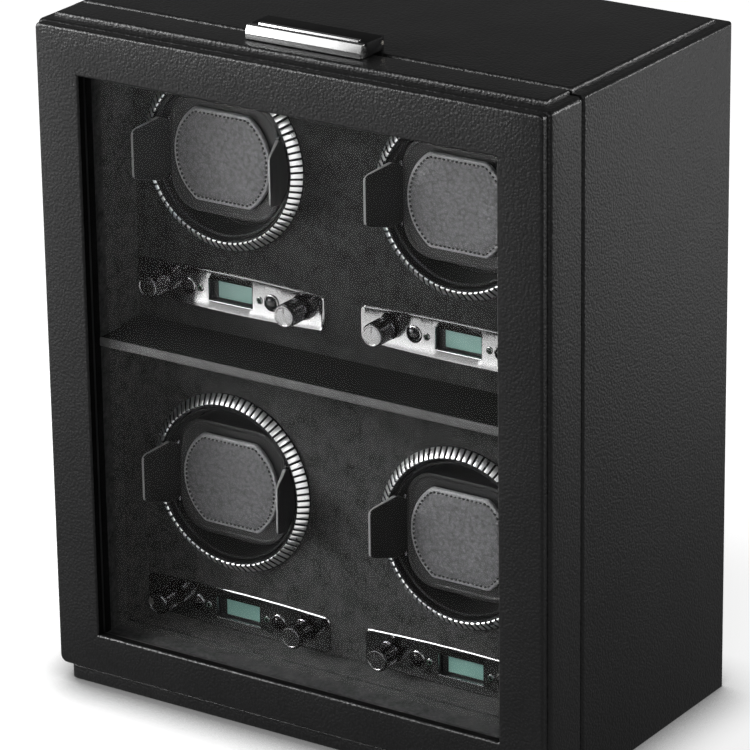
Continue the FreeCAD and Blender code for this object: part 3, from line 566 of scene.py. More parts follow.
# %% Side boards
def settle(piece, made, body, slot, *nodes):
    """Give a piece its finish, unless it is dressed, its body and the nodes it stands for. The slot is not
    used.
    """
    if made is not None:
        dress(piece.data, made)
    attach(piece, body)
    if nodes:
        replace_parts(piece, *nodes)
    return piece


def notches(label, low_depth, high_depth):
    """Blocks where the two hinges need room in the left edge."""
    low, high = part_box("hinge_pins")
    rows = (low.z / MM, high.z / MM - 50)
    return [block(f"{label}_{i}", at(-168, low_depth, z - 1), at(-160.6, high_depth, z + 51))
            for i, z in enumerate(rows)]


HAIR = 1e-6
for side, sign in (("left", -1), ("right", 1)):
    node = f"side_panel_{side}"
    low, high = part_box(node)
    board = block(f"leather_side_{side}", low, high)
    outer = low.x if sign < 0 else high.x
    edit(board)
    pick_edges(board, lambda a, b: all(abs(p.x - outer) < HAIR for p in (a, b)) and max(a.z, b.z) > HAIR)
    bevel(2.5, 5)
    leave()
    rabbet = sorted((sign * 150, sign * 158.5))
    carve(board, block("rabbet", at(rabbet[0], 188, 12), at(rabbet[1], 193, 379)))
    if side == "left":
        carve(board, *notches("notch", 36, 39.65))
    smooth(board, 30)
    settle(board, black_leather, "cabinet", "leather", node)
    print(board.name, len(board.data.polygons), "faces")


# %% Base
def joined(name, *pieces):
    """Several meshes made one piece."""
    only(pieces[0])
    for piece in pieces[1:]:
        piece.select_set(True)
    bpy.ops.object.join()
    return named(name)


PLINTH_FRONT, PLINTH_HIGH = 5, 8.5
inner_low, inner_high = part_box("top_board")
low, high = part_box("base_board")
plinth = block("leather_base", low, Vector((high.x, inner_low.y + 0.5 * MM, low.z + PLINTH_HIGH * MM)))
edit(plinth)
pick_edges(plinth, lambda a, b: abs(a.z - b.z) > MM
           and all(near(p.y, PLINTH_FRONT + DEPTH_ZERO) for p in (a, b)))
bevel(5, 6)
leave()
soften(plinth, 0.8, 3, 50)
inner = block("base_inner", Vector((inner_low.x, inner_low.y, 0)),
              Vector((inner_high.x, inner_high.y, inner_high.z - inner_low.z)))
plinth = joined("leather_base", plinth, inner)
settle(plinth, black_leather, "cabinet", "leather", "base_board")
print(plinth.name, len(plinth.data.polygons), "faces")


# %% Top covers
def wrapped_cover(name, node, body):
    low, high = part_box(node)
    cover = block(name, low, high)
    edit(cover)
    pick_edges(cover, lambda a, b: min(a.z, b.z) > high.z - HAIR)
    bevel(2, 5)
    leave()
    smooth(cover, 30)
    return settle(cover, black_leather, body, "leather", node)


wrapped_cover("leather_top", "top_cover", "cabinet")
door_cover = wrapped_cover("leather_door_top", "door_top_cover", "door")
low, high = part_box("latch_keeper")
carve(door_cover, block("keeper_seat", low, high + Vector((0, 0, MM))))
print(door_cover.name, len(door_cover.data.polygons), "faces")

# %% [markdown]
# ## The door
# The door is a deep leather-wrapped frame with a thinner leather panel on its front. Both are rings, so
# each starts as an upright sheet that is bisected along the window's four lines. The middle is deleted
# and the rest is extruded backwards. The frame's inner walls are lined with suede, so those faces get a
# second finish. Beside the glass, a black bead runs up each side wall.


# %% A ring with a window
def ring(name, outer, inner, front, rear):
    """A rectangular ring; outer and inner are left, right, low and high in millimetres."""
    place = at((outer[0] + outer[1]) / 2, front, (outer[2] + outer[3]) / 2)
    select_none()
    bpy.ops.mesh.primitive_plane_add(size=1, location=place, rotation=(math.pi / 2, 0, 0))
    piece = named(name)
    piece.scale = Vector(((outer[1] - outer[0]), (outer[3] - outer[2]), 1)) * MM
    keep_place()
    edit(piece)
    cuts = [(at(x, front, 0), (1, 0, 0)) for x in inner[:2]]
    cuts += [(at(0, front, z), (0, 0, 1)) for z in inner[2:]]
    for place, normal in cuts:
        pick_all()
        bpy.ops.mesh.bisect(plane_co=place, plane_no=normal)
    left, right, low, high = (v * MM for v in inner)
    pick_faces(piece, lambda c, n: left < c.x < right and low < c.z < high)
    bpy.ops.mesh.delete(type="FACE")
    thicken(rear - front)
    leave()
    return piece


def around(node):
    """A node's left, right, low and high in millimetres."""
    low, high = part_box(node)
    return [v / MM for v in (low.x, high.x, low.z, high.z)]


slab, body = around("door_front_panel"), around("door_frame")
print("door", [round(v, 1) for v in body], "front panel", [round(v, 1) for v in slab])


# %% Round corners and rims
def round_corners(piece, outline):
    """In edit mode, round a ring's outer corners, the lower ones more than the upper ones."""
    for z, radius in ((outline[2], 4.5), (outline[3], 3.2)):
        pick_edges(piece, lambda a, b: abs(a.y - b.y) > MM and near(a.z, z) and near(b.z, z)
                   and any(near(a.x, x) and near(b.x, x) for x in outline[:2]))
        bevel(radius, 6)


def pick_rim(piece, depth, reach):
    """In edit mode, select a ring's edges at a depth and outside a square of reach round its middle."""
    def on_rim(edge):
        flat = all(near(point.co.y, depth + DEPTH_ZERO) for point in edge.verts)
        wall = any(abs(face.normal.y) < 0.5 for face in edge.link_faces)
        spot = (edge.verts[0].co + edge.verts[1].co) / 2
        outer = abs(spot.x) > reach * MM or abs(spot.z - 0.2) > (reach + 25) * MM
        return flat and wall and outer

    pick(piece, "EDGE", on_rim)


def inside(spot, window, slack):
    """True if a point lies in a window's outline, which is widened by some millimetres of slack."""
    return (abs(spot.x) < (window[1] + slack) * MM
            and (window[2] - slack) * MM < spot.z < (window[3] + slack) * MM)


print("rim helpers ready")

# %% Door front
WINDOW = (-133.5, 133.5, 33.5, 363.5)
panel = ring("leather_door_front", slab, WINDOW, 0, 5)
edit(panel)
round_corners(panel, slab)
pick_rim(panel, 0, 0)
bevel(1.7, 5)
leave()
smooth(panel, 30)
dress(panel.data, black_leather, black_lining_and_shade_suede)
settle(panel, None, "door", "leather", "door_front_panel")
for face in panel.data.polygons:
    face.material_index = 1 if inside(face.center, WINDOW, 0.1) and face.normal.y > -0.35 else 0
print(panel.name, len(panel.data.polygons), "faces")

# %% Door frame
HOLLOW = (-138, 138, 29, 370)
BEAD = 18.5
door = ring("leather_door_frame", body, HOLLOW, 5, 35)
edit(door)
round_corners(door, body)
pick_rim(door, 5, 150)
bevel(2.5, 5)
leave()
rabbet = block("glass_rabbet", at(-146.8, 4, 20.2), at(146.8, 11, 376.8))
carve(door, rabbet, *notches("door_notch", 32.85, 36))
smooth(door, 30)
edit(door)
pick_all()
bpy.ops.mesh.bisect(plane_co=at(0, BEAD, 0), plane_no=(0, 1, 0))
leave()
dress(door.data, black_leather, panel_suede, black_lining_and_shade_suede)
settle(door, None, "door", "leather", "door_frame")
for face in door.data.polygons:
    bead = abs(face.normal.x) > 0.5 and face.center.y < (BEAD + DEPTH_ZERO) * MM
    face.material_index = (2 if bead else 1) if inside(face.center, HOLLOW, 0.2) else 0
print(door.name, len(door.data.polygons), "faces")

# %% [markdown]
# ## The shelf between the tiers
# The shelf's top is given the black lining suede as painted shade, and its front edge a paler grey suede
# as painted light. The front edge's upper corner is rounded and catches the light.

# %% Shelf
SHELF_FRONT, SHELF_STEP, SHELF_REAR = 14, 37.5, 56
low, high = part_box("divider_shelf")
shelf = block("suede_shelf", at(-135, SHELF_FRONT, low.z / MM), at(132.8, SHELF_STEP, high.z / MM))
root = block("suede_shelf_root", at(-138, SHELF_STEP, low.z / MM), at(138, SHELF_REAR, high.z / MM))
front = SHELF_FRONT + DEPTH_ZERO
edit(shelf)
pick_edges(shelf, lambda a, b: near(a.y, front) and near(b.y, front) and near(a.z, b.z / MM))
bevel(0.9, 3)
leave()
smooth(shelf, 50)
shelf = joined("suede_shelf", shelf, root)
# The top is painted shade in black suede, and the front edge is painted light in paler suede.
dress(shelf.data, black_lining_and_shade_suede, shelf_suede)
settle(shelf, None, "cabinet", "shelf_suede", "divider_shelf")
for face in shelf.data.polygons:
    if face.center.y < (front + 0.95) * MM and face.normal.y < -0.2:
        face.material_index = 1
print(shelf.name, len(shelf.data.polygons), "faces")

# %% [markdown]
# ## Fluted rings
# Each drum looks out through a ring with 84 chrome bars on its sloping face. A row of points is spun
# round the drum's axis, as on a lathe, in three steps for each bar. Two faces of every three on the slope
# are extruded along their normals into a bar, and the third stays down as the gap. Only the bars' tops
# are chrome; the gaps, the bars' sides and the ring's other faces are black plastic, as painted shade in
# the grooves. The ring is made once, on the lower left head, and copied to the other three.


# %% Turned pieces
def strung(name, points, closed=False):
    """A new object made of points that edges join in a row."""
    count = len(points)
    mesh = bpy.data.meshes.new(name)
    mesh.from_pydata(points, [(i, (i + 1) % count) for i in range(count if closed else count - 1)], [])
    piece = bpy.data.objects.new(name, mesh)
    bpy.context.scene.collection.objects.link(piece)
    return piece


def turned(name, centre, profile, steps, angle=None):
    """Spin pairs of radius and depth round the front-to-back axis through centre; shade it smooth if an
    angle is given.
    """
    piece = strung(name, [Vector((centre.x + radius * MM, (depth + DEPTH_ZERO) * MM, centre.z))
                          for radius, depth in profile])
    edit(piece)
    pick_all()
    bpy.ops.mesh.spin(steps=steps, angle=2 * math.pi, center=centre, axis=(0, 1, 0))
    pick_all()
    bpy.ops.mesh.remove_doubles(threshold=0.0005 * MM)
    face_out()
    leave()
    if angle is not None:
        smooth(piece, angle)
    return piece


def middle(node):
    low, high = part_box(node)
    return (low + high) / 2


heart = middle("drum_lower_left")
hx, hz = heart.x / MM, heart.z / MM
print("lower left head at", round(hx, 1), round(hz, 1))

# %% Ring section
BARS, BAR_HIGH = 84, 0.8
INNER, OUTER = (47.4, 50.3), (52.4, 54.8)
bezel = turned("chrome_bezel_lower_left", heart, [
    (46.2, 56), (46.2, 50.9), (46.8, 50.3), INNER, OUTER, (52.6, 55.0), (52.6, 56),
], 3 * BARS)


def ring_place(spot):
    """A point's distance from the drum's axis in millimetres and its angle as a part of a turn."""
    across, up = spot.x - heart.x, spot.z - heart.z
    return math.hypot(across, up) / MM, (math.atan2(up, across) / (2 * math.pi)) % 1


def on_bar(c, n):
    radius, part = ring_place(c)
    return INNER[0] < radius < OUTER[0] and abs(n.y) > 0.3 and int(part * 3 * BARS) % 3 != 0


edit(bezel)
pick_faces(bezel, on_bar)
bpy.ops.mesh.extrude_region_shrink_fatten(TRANSFORM_OT_shrink_fatten={"value": BAR_HIGH * MM})
leave()
print("ring with", BARS, "bars")


# %% Rings on all four heads
def copied(piece, name, shift):
    """A copy with its own mesh, moved by shift. It doesn't take over what its original stands for."""
    only(piece)
    bpy.ops.object.duplicate()
    bpy.ops.transform.translate(value=shift)
    keep_place()
    twin = named(name)
    twin.pop("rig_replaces", None)
    return twin


def head_shift(head):
    """The way from the lower left head to another one."""
    return middle(f"drum_{head}") - heart


HEADS = ("lower_left", "lower_right", "upper_left", "upper_right")


def on_heads(piece, stem, shift=head_shift):
    """Each head's name with the piece for it: the piece itself, then its copies."""
    for head in HEADS:
        yield head, piece if head == "lower_left" else copied(piece, f"{stem}_{head}", shift(head))


# Painted shade: the gaps, the bars' sides and the ring's other faces are black, not chrome.
dress(bezel.data, drum_black_and_shade, bezel_chrome)
for face in bezel.data.polygons:
    radius, _ = ring_place(face.center)
    slope = INNER[1] + (radius - INNER[0]) * (OUTER[1] - INNER[1]) / (OUTER[0] - INNER[0])
    outward = Vector((face.center.x - heart.x, 0, face.center.z - heart.z)).normalized()
    sideways = abs(face.normal.dot(Vector((outward.z, 0, -outward.x))))
    raised = face.center.y / MM - DEPTH_ZERO < slope - 0.3 * BAR_HIGH
    face.material_index = 1 if raised and sideways < 0.3 else 0
soften(bezel, 0.16, 2, 25)
for head, one in on_heads(bezel, "chrome_bezel"):
    settle(one, None, "cabinet", "chrome", "bezel_rings")
print("bezel faces:", len(bezel.data.polygons))

# %% [markdown]
# ## Drums
# A drum is a plain moulded cup. It is turned from its section, with a rounded mouth and a small step
# where the floor meets the wall.

# %% Drums
drum = turned("drum_cup_lower_left", heart, [
    (0, 72), (39.4, 72), (40, 71.6), (41, 70.6), (41.7, 70.4), (42.4, 70.6), (43.1, 70.2), (43.3, 69.6),
    (43.3, 53.6), (43.6, 53.15), (44.1, 53), (44.7, 53), (45.1, 53.2), (45.3, 53.7), (45.3, 74.4),
    (44.8, 75), (6, 75), (6, 80), (4, 80), (4, 99.5), (3.5, 100), (0, 100),
], 96, 35)
for head, one in on_heads(drum, "drum_cup"):
    settle(one, drum_black_and_shade, f"drum_{head}_body", "drum_plastic", f"drum_{head}")
print("drum faces:", len(drum.data.polygons))

# %% [markdown]
# ## Cuffs
# A watch is strapped round a cuff that plugs into the drum. Its core is a rounded block, and two thin
# wings stand forward on either side. A wing's section is extruded upwards, its ends are filled, and a row
# of slanting cuts on each side rounds its front corners and makes it narrow towards the front.

# %% Wings
WING_SECTION = [(32, 70), (35.5, 70), (39.2, 55), (43.2, 43), (46, 34.4), (46.5, 32.4), (45.3, 32.4),
                (36.5, 55), (32, 62)]
WING_EDGE = [(32.4, 11.6), (32.8, 12.9), (33.8, 14), (35.6, 14.9), (49, 18.4), (57, 15)]
WING_BLANK = 40


def wing(name, sign):
    """One wing of the lower left cuff, on the left for a sign of -1."""
    piece = strung(name, [at(hx + sign * x, depth, hz - WING_BLANK / 2) for x, depth in WING_SECTION], True)
    edit(piece)
    bpy.ops.mesh.select_mode(type="EDGE")
    pick_all()
    bpy.ops.mesh.extrude_edges_move(TRANSFORM_OT_translate={"value": (0, 0, WING_BLANK * MM)})
    pick_all()
    bpy.ops.mesh.fill_holes(sides=0)
    face_out()
    for up in (-1, 1):
        for (front, low), (rear, high) in zip(WING_EDGE, WING_EDGE[1:]):
            outward = Vector((0, low - high, (rear - front) * up)).normalized()
            pick_all()
            bpy.ops.mesh.bisect(plane_co=at(0, front, hz + up * low), plane_no=outward, use_fill=True,
                                clear_outer=True)
    leave()
    soften(piece, 0.5, 3, 30)
    return piece


tips = [wing("wing_left", -1), wing("wing_right", 1)]
for tip in tips:
    heights = [v.co.z / MM - hz for v in tip.data.vertices]
    print(tip.name, len(tip.data.polygons), "faces, from", *(round(f(heights), 1) for f in (min, max)), "mm")

# %% Cuff core
CUFF_FRONT = 55.4
core = block("cuff_core", at(hx - 36, CUFF_FRONT, hz - 34), at(hx + 36, 71.5, hz + 34))
edit(core)
pick_edges(core, lambda a, b: abs(a.y - b.y) > MM)
bevel(18, 10)
pick_faces(core, lambda c, n: n.y < -0.9)
bpy.ops.mesh.inset(thickness=2.2 * MM)
bpy.ops.mesh.inset(thickness=0.5 * MM, depth=-0.5 * MM)
leave()
soften(core, 0.7, 3, 35)
for piece in (core, *tips):
    dress(piece.data, satin_black, painted_highlight_plastic)
# Painted highlight: the wings' front faces and upward faces get the paler plastic.
for tip in tips:
    for face in tip.data.polygons:
        depth = face.center.y / MM - DEPTH_ZERO
        if (depth < 33 and face.normal.y < -0.5) or (depth < 50 and face.normal.z > 0.6):
            face.material_index = 1
cuff = joined("cuff_shell_lower_left", core, *tips)
print("cuff faces:", len(cuff.data.polygons))

# %% Cuff pins
pins = []
for sign, up in ((-1, -1), (-1, 1), (1, -1), (1, 1)):
    select_none()
    bpy.ops.mesh.primitive_cylinder_add(vertices=16, radius=1.0 * MM, depth=3 * MM,
                                        location=at(hx + sign * 36.6, 55, hz + up * 17))
    keep_place()
    pins.append(named("cuff_pin"))
    soften(pins[-1], 0.4, 2, 40)
pin_set = joined("cuff_pins_lower_left", *pins)
for (head, one), (_, two) in zip(on_heads(cuff, "cuff_shell"), on_heads(pin_set, "cuff_pins")):
    settle(one, None, f"cuff_{head}_body", "cuff_plastic", f"cuff_{head}")
    settle(two, knob_chrome, f"cuff_{head}_body", "steel")
print("pin faces:", len(pin_set.data.polygons))

# %% [markdown]
# ## Stitched pads
# Each cuff wears a leather pad filled with foam: a disc with a flat above and below, sewn down a few
# millimetres inside its edge. The pad is made as cloth. A disc is trimmed, given a thickness and
# remeshed, the sewn line is pushed in and pinned, and pressure swells the rest. The simulation runs ten
# times larger, where cloth behaves.

# %% A flat pad to start from
PAD_RADIUS, PAD_FLAT, PAD_THICK = 32.35, 26.8, 2.9
PAD_FRONT = 52.5
select_none()
bpy.ops.mesh.primitive_circle_add(vertices=128, radius=PAD_RADIUS * MM, fill_type="NGON",
                                  location=at(hx, CUFF_FRONT, hz), rotation=(math.pi / 2, 0, 0))
keep_place()
pad = named("pad_lower_left")
edit(pad)
for up in (-1, 1):
    pick_all()
    bpy.ops.mesh.bisect(plane_co=at(0, CUFF_FRONT, hz + up * PAD_FLAT), plane_no=(0, 0, up),
                        clear_outer=True)
pick_points(pad, lambda p: abs(abs(p.z - heart.z) - PAD_FLAT * MM) < 0.01 * MM
            and abs(p.x - heart.x) > PAD_RADIUS / 2 * MM)
bevel(5, 6, "VERTICES")
thicken(-PAD_THICK)
pick_edges(pad, lambda a, b: all(near(p.y, PAD_FRONT + DEPTH_ZERO) for p in (a, b)))
bevel(1.2, 4)
leave()
modify(pad, "REMESH", mode="VOXEL", voxel_size=1.0 * MM)
print("pad mesh before it swells:", len(pad.data.vertices), "points")

# %% Where the pad is sewn
SEAM_IN, SEAM_WIDE, SEAM_DEEP = 2.8, 1.4, 0.3
EDGE_RADIUS, EDGE_FLAT = 32.75, 27.2


def seam_gap(x, z):
    """How far inside the pad's edge a point lies, in millimetres."""
    across, up = (x - heart.x) / MM, (z - heart.z) / MM
    return min(EDGE_RADIUS - math.hypot(across, up), EDGE_FLAT - abs(up))


sewn = pad.vertex_groups.new(name="sewn")
for point in pad.data.vertices:
    depth = point.co.y / MM - DEPTH_ZERO
    from_seam = abs(seam_gap(point.co.x, point.co.z) - SEAM_IN)
    if depth < 53.6 and from_seam < SEAM_WIDE:
        point.co.y += SEAM_DEEP * MM * (1 - from_seam / SEAM_WIDE)
    if depth > 54.6 or (depth < 53.6 and from_seam < SEAM_WIDE / 2):
        sewn.add([point.index], 1.0, "REPLACE")
print("sewn line", SEAM_IN, "mm inside the edge")


# %% Swell the pad
def enlarge(piece, times):
    """Scale a mesh about the middle of the pad."""
    edit(piece)
    pick_all()
    bpy.ops.transform.resize(value=(times, times, times), center_override=at(hx, 54, hz))
    leave()


SWELL, PRESSURE, LAST_FRAME, MOST = 10, 4, 20, 0.45
start = [point.co.copy() for point in pad.data.vertices]
enlarge(pad, SWELL)
bpy.ops.object.modifier_add(type="CLOTH")
cloth = pad.modifiers[-1]
cloth.settings.vertex_group_mass = "sewn"
cloth.settings.use_pressure = True
cloth.settings.uniform_pressure_force = PRESSURE
cloth.settings.effector_weights.gravity = 0
cloth.settings.quality = 5
for frame_number in range(1, LAST_FRAME + 1):
    bpy.context.scene.frame_set(frame_number)
bpy.ops.object.modifier_apply(modifier=cloth.name)
bpy.context.scene.frame_set(1)
enlarge(pad, 1 / SWELL)
moves = []
for point, place in zip(pad.data.vertices, start):
    step = point.co - place
    moves.append(step.length / MM)
    if step.length > MOST * MM:
        point.co = place + step.normalized() * MOST * MM
modify(pad, "SUBSURF", levels=1, render_levels=1)
bpy.ops.object.shade_smooth()
pad.vertex_groups.clear()
print("pad swelled by up to", round(max(moves), 2), "mm;", len(pad.data.polygons), "faces")

# %% [markdown]
# The thread runs along the pinned line. One stitch is a short rod with rounded ends and few faces. It is
# copied round the line, each copy turned to follow it, and every stitch sinks a little into the leather.

# %% One stitch
select_none()
bpy.ops.mesh.primitive_cylinder_add(vertices=6, radius=0.55 * MM, depth=0.9 * MM, location=(0, 0, 0),
                                    rotation=(0, math.pi / 2, 0))
keep_place()
stitch = named("stitch")
edit(stitch)
pick_faces(stitch, lambda c, n: abs(n.x) > 0.9)
bpy.ops.mesh.extrude_region_shrink_fatten(TRANSFORM_OT_shrink_fatten={"value": 0.35 * MM})
for sign in (-1, 1):
    pick_faces(stitch, lambda c, n: n.x * sign > 0.9)
    bpy.ops.transform.resize(value=(1, 0.45, 0.45), center_override=(sign * 0.8 * MM, 0, 0))
leave()
only(stitch)
bpy.ops.object.shade_smooth()
print("stitch:", len(stitch.data.polygons), "faces")

# %% Stitches along the seam
STITCHES, SEAM_STEPS, RAISED = 68, 1440, 0.3
line = []
for step in range(SEAM_STEPS + 1):
    turn = 2 * math.pi * step / SEAM_STEPS
    radius = min(EDGE_RADIUS - SEAM_IN, (EDGE_FLAT - SEAM_IN) / max(abs(math.sin(turn)), 0.01))
    line.append(Vector((radius * math.cos(turn), 0, radius * math.sin(turn))) * MM)
lengths = [(b - a).length for a, b in zip(line, line[1:])]
pitch, walked, row = sum(lengths) / STITCHES, 0.0, []
for a, b, length in zip(line, line[1:], lengths):
    if walked >= pitch * len(row) and len(row) < STITCHES:
        _, spot, _, _ = pad.ray_cast(heart + a + Vector((0, -0.1, 0)), (0, 1, 0))
        one = stitch.copy()
        one.data = stitch.data.copy()
        bpy.context.scene.collection.objects.link(one)
        along = b - a
        one.matrix_world = (Matrix.Translation(spot - Vector((0, RAISED * MM, 0)))
                            @ Matrix.Rotation(-math.atan2(along.z, along.x), 4, "Y"))
        row.append(one)
    walked += length
bpy.data.objects.remove(stitch)
thread = joined("thread_lower_left", *row)
keep_place()
print("stitches:", len(row), "every", round(pitch / MM, 2), "mm;", len(thread.data.polygons), "faces")

# %% Pads on all four cuffs
# Painted highlight: faces near the pad's edge and seam get the paler calf.
dress(pad.data, pad_leather, painted_highlight_leather)
for face in pad.data.polygons:
    face.material_index = 1 if seam_gap(face.center.x, face.center.z) < SEAM_IN + 0.4 else 0
for (head, one), (_, two) in zip(on_heads(pad, "pad"), on_heads(thread, "thread")):
    settle(one, None, f"cuff_{head}_body", "pad_leather", f"cuff_pad_{head}")
    settle(two, dark_thread, f"cuff_{head}_body", "pad_leather")
low, high = [Vector(c) / MM for c in (pad.bound_box[0], pad.bound_box[6])]
print("pad from depth", round(low.y - DEPTH_ZERO, 2), "to", round(high.y - DEPTH_ZERO, 2), "mm")

# %% [markdown]
# ## Control plates
# A control plate is a thin chrome casting whose long edges bow outwards, with a raised polished rim. One
# point is spun into the upper edge, a mirrored copy is the lower edge, and the two are bridged into a
# sheet. The sheet is thickened and inset three times for the rim. The window and the holes are cut last,
# and the window is chamfered.

# %% Plate blank
PLATE_HALF, PLATE_END, PLATE_BOW = 62.8, 10.3, 1.7
plate_heart = (middle("direction_knob_lower_left") + middle("turns_knob_lower_left")) / 2
plate_heart.y = (55.2 + DEPTH_ZERO) * MM
px, pz = plate_heart.x / MM, plate_heart.z / MM
bow = (PLATE_HALF ** 2 + PLATE_BOW ** 2) / (2 * PLATE_BOW)
plate = strung("plate_lower_left", [plate_heart + Vector((-PLATE_HALF, 0, PLATE_END)) * MM])
edit(plate)
pick_all()
bpy.ops.mesh.spin(steps=32, angle=-2 * math.asin(PLATE_HALF / bow), axis=(0, 1, 0),
                  center=plate_heart + Vector((0, 0, PLATE_END + PLATE_BOW - bow)) * MM)
pick_all()
bpy.ops.mesh.duplicate()
bpy.ops.transform.resize(value=(1, 1, -1), center_override=plate_heart)
bpy.ops.mesh.select_mode(type="EDGE")
pick_all()
bpy.ops.mesh.bridge_edge_loops()
pick_points(plate, lambda p: abs(abs(p.x - plate_heart.x) - PLATE_HALF * MM) < 0.1 * MM)
bevel(3, 6, "VERTICES")
leave()
print("plate outline with", len(plate.data.vertices), "points")

# %% Plate rim
edit(plate)
thicken(0.8)
pick_faces(plate, lambda c, n: n.y < -0.99)
for width, rise in ((0.6, 0.47), (0.45, 0), (0.5, -0.17)):
    bpy.ops.mesh.inset(thickness=width * MM, depth=rise * MM)
leave()
print("plate", [round(v / MM, 1) for v in plate.dimensions], "mm,", len(plate.data.polygons), "faces")


# %% Window and holes
def rod(name, centre, radius, length, sides):
    """A cylinder primitive along the front-to-back axis."""
    select_none()
    bpy.ops.mesh.primitive_cylinder_add(vertices=sides, radius=radius * MM, depth=length * MM,
                                        location=centre, rotation=(math.pi / 2, 0, 0))
    keep_place()
    return named(name)


KNOB, BUTTON, LAMP = 46, 28, 20
SCREEN_WIDE, SCREEN_HIGH, PLATE_FACE = 14.5, 6, 54.9
holes = [block("window", at(px - SCREEN_WIDE, 50, pz - SCREEN_HIGH),
               at(px + SCREEN_WIDE, 60, pz + SCREEN_HIGH))]
for sign in (-1, 1):
    for across, radius in ((KNOB, 3.2), (BUTTON, 3.85), (LAMP, 1.5)):
        holes.append(rod("hole", at(px + sign * across, 55, pz), radius, 8, 32))
carve(plate, *holes)


def on_window(a, b):
    """True for an edge of the window in the plate's face."""
    wide, high = ([abs(value / MM - centre) for value in pair]
                  for pair, centre in (((a.x, b.x), px), ((a.z, b.z), pz)))
    upright = all(abs(w - SCREEN_WIDE) < 0.02 for w in wide) and max(high) < SCREEN_HIGH + 0.02
    level = all(abs(h - SCREEN_HIGH) < 0.02 for h in high) and max(wide) < SCREEN_WIDE + 0.02
    return all(near(p.y, PLATE_FACE + DEPTH_ZERO, 0.05) for p in (a, b)) and (upright or level)


edit(plate)
pick_edges(plate, on_window)
bevel(0.95, 2)
leave()
smooth(plate, 28)
print("plate with window and holes:", len(plate.data.polygons), "faces")

# %% Collars and ferrules
COLLAR = [(3.95, 55), (3.95, 54.4), (4.15, 54.15), (4.6, 54.2), (4.95, 54.6), (4.95, 55)]
FERRULE = [(1.5, 55), (1.5, 54.6), (1.65, 54.45), (1.95, 54.5), (2.15, 54.75), (2.15, 55)]
trims = []
for sign in (-1, 1):
    trims.append(turned("collar", at(px + sign * BUTTON, 55, pz), COLLAR, 40, 50))
    trims.append(turned("ferrule", at(px + sign * LAMP, 55, pz), FERRULE, 24, 50))
plate = joined("plate_lower_left", plate, *trims)
print("plate with collars:", len(plate.data.polygons), "faces")


# %% Display masks and lamp lenses
def plate_shift(head):
    """The way from the lower left plate to another one."""
    return middle(f"direction_knob_{head}") - middle("direction_knob_lower_left")


LENS = [(0, 53.75), (0.6, 53.82), (1.05, 54.05), (1.35, 54.4), (1.45, 54.8), (1.45, 56), (0, 56)]
rim = (px - 16.2, px + 16.2, pz - 7.7, pz + 7.7)
screen = (px - SCREEN_WIDE, px + SCREEN_WIDE, pz - SCREEN_HIGH, pz + SCREEN_HIGH)
tunnel = ring("display_mask_lower_left", rim, screen, 56, 58.5)
mask = ring("mask", rim, (px - 10.4, px + 13.2, pz - 4.9, pz + 5.2), 58.5, 58.95)
soften(mask, 0.15, 2, 40)
mask = joined("display_mask_lower_left", tunnel, mask)
lenses = [turned("lens", at(px + sign * LAMP, 55, pz), LENS, 20, 50) for sign in (-1, 1)]
lens_pair = joined("lamp_lenses_lower_left", *lenses)
for (head, one), (_, two), (_, three) in zip(on_heads(plate, "plate", plate_shift),
                                             on_heads(mask, "display_mask", plate_shift),
                                             on_heads(lens_pair, "lamp_lenses", plate_shift)):
    settle(one, plate_chrome, "cabinet", "chrome", "control_plates")
    settle(two, satin_black, "cabinet", "display")
    settle(three, gloss_black, "cabinet", "button_plastic")
print("plates, masks and lenses on", len(HEADS), "heads")

# %% [markdown]
# ## Knobs and buttons
# A knob is a dark fluted grip with a polished cap set in its end. The grip is turned in 24 steps, and
# insetting its side faces one by one sinks a flute into each. The cap has a raised rim and a short slot
# as its pointer. A button is a small glossy dome that stands in a collar.

# %% Knob
knob_heart = at(px - KNOB, 50, pz)
grip = turned("knob_grip", knob_heart, [
    (0, 41.3), (6.0, 41.3), (6.35, 41.0), (6.6, 41.1), (6.8, 41.5), (6.8, 52.6),
    (6.55, 53.2), (6.2, 53.7), (3, 53.7), (3, 68), (0, 68),
], 24)
edit(grip)
pick_faces(grip, lambda c, n: 42 < c.y / MM - DEPTH_ZERO < 52 and abs(n.y) < 0.1
           and math.hypot(c.x - knob_heart.x, c.z - knob_heart.z) > 6.6 * MM)
bpy.ops.mesh.inset(thickness=0.35 * MM, depth=-0.5 * MM, use_individual=True)
leave()
smooth(grip, 30)
cap = turned("knob_cap", knob_heart, [
    (0, 40.35), (4.9, 40.35), (5.2, 40.1), (5.6, 40), (6.0, 40.15), (6.2, 40.6), (6.2, 42), (0, 42),
], 48)
carve(cap, block("pointer", at(px - 46.45, 39, pz + 1.6), at(px - 45.55, 40.8, pz + 5)))
smooth(cap, 35)
print("knob:", len(grip.data.polygons), "and", len(cap.data.polygons), "faces")

# %% Button
dome = turned("button_dome", at(px - BUTTON, 55, pz), [
    (0, 52.3), (1.2, 52.36), (2.3, 52.62), (3.1, 53.05), (3.6, 53.6), (3.75, 54.2), (3.75, 56.2),
    (4.4, 56.2), (4.4, 57.5), (1.5, 57.5), (1.5, 60.3), (0, 60.3),
], 40, 40)
print("button:", len(dome.data.polygons), "faces")


# %% Knobs and buttons on all four plates
def spread(kinds, parts):
    """Copy the parts of a knob or a button to every plate; the first part stands for the CAD node."""
    for head in HEADS:
        for kind, across in kinds:
            node = f"{kind}_{head}"
            for index, (part, label, made, slot) in enumerate(parts):
                piece = copied(part, f"{node}_{label}", plate_shift(head) + Vector((across, 0, 0)) * MM)
                settle(piece, made, f"{node}_body", slot, *([node] if index == 0 else []))
    for part, *_ in parts:
        bpy.data.objects.remove(part)


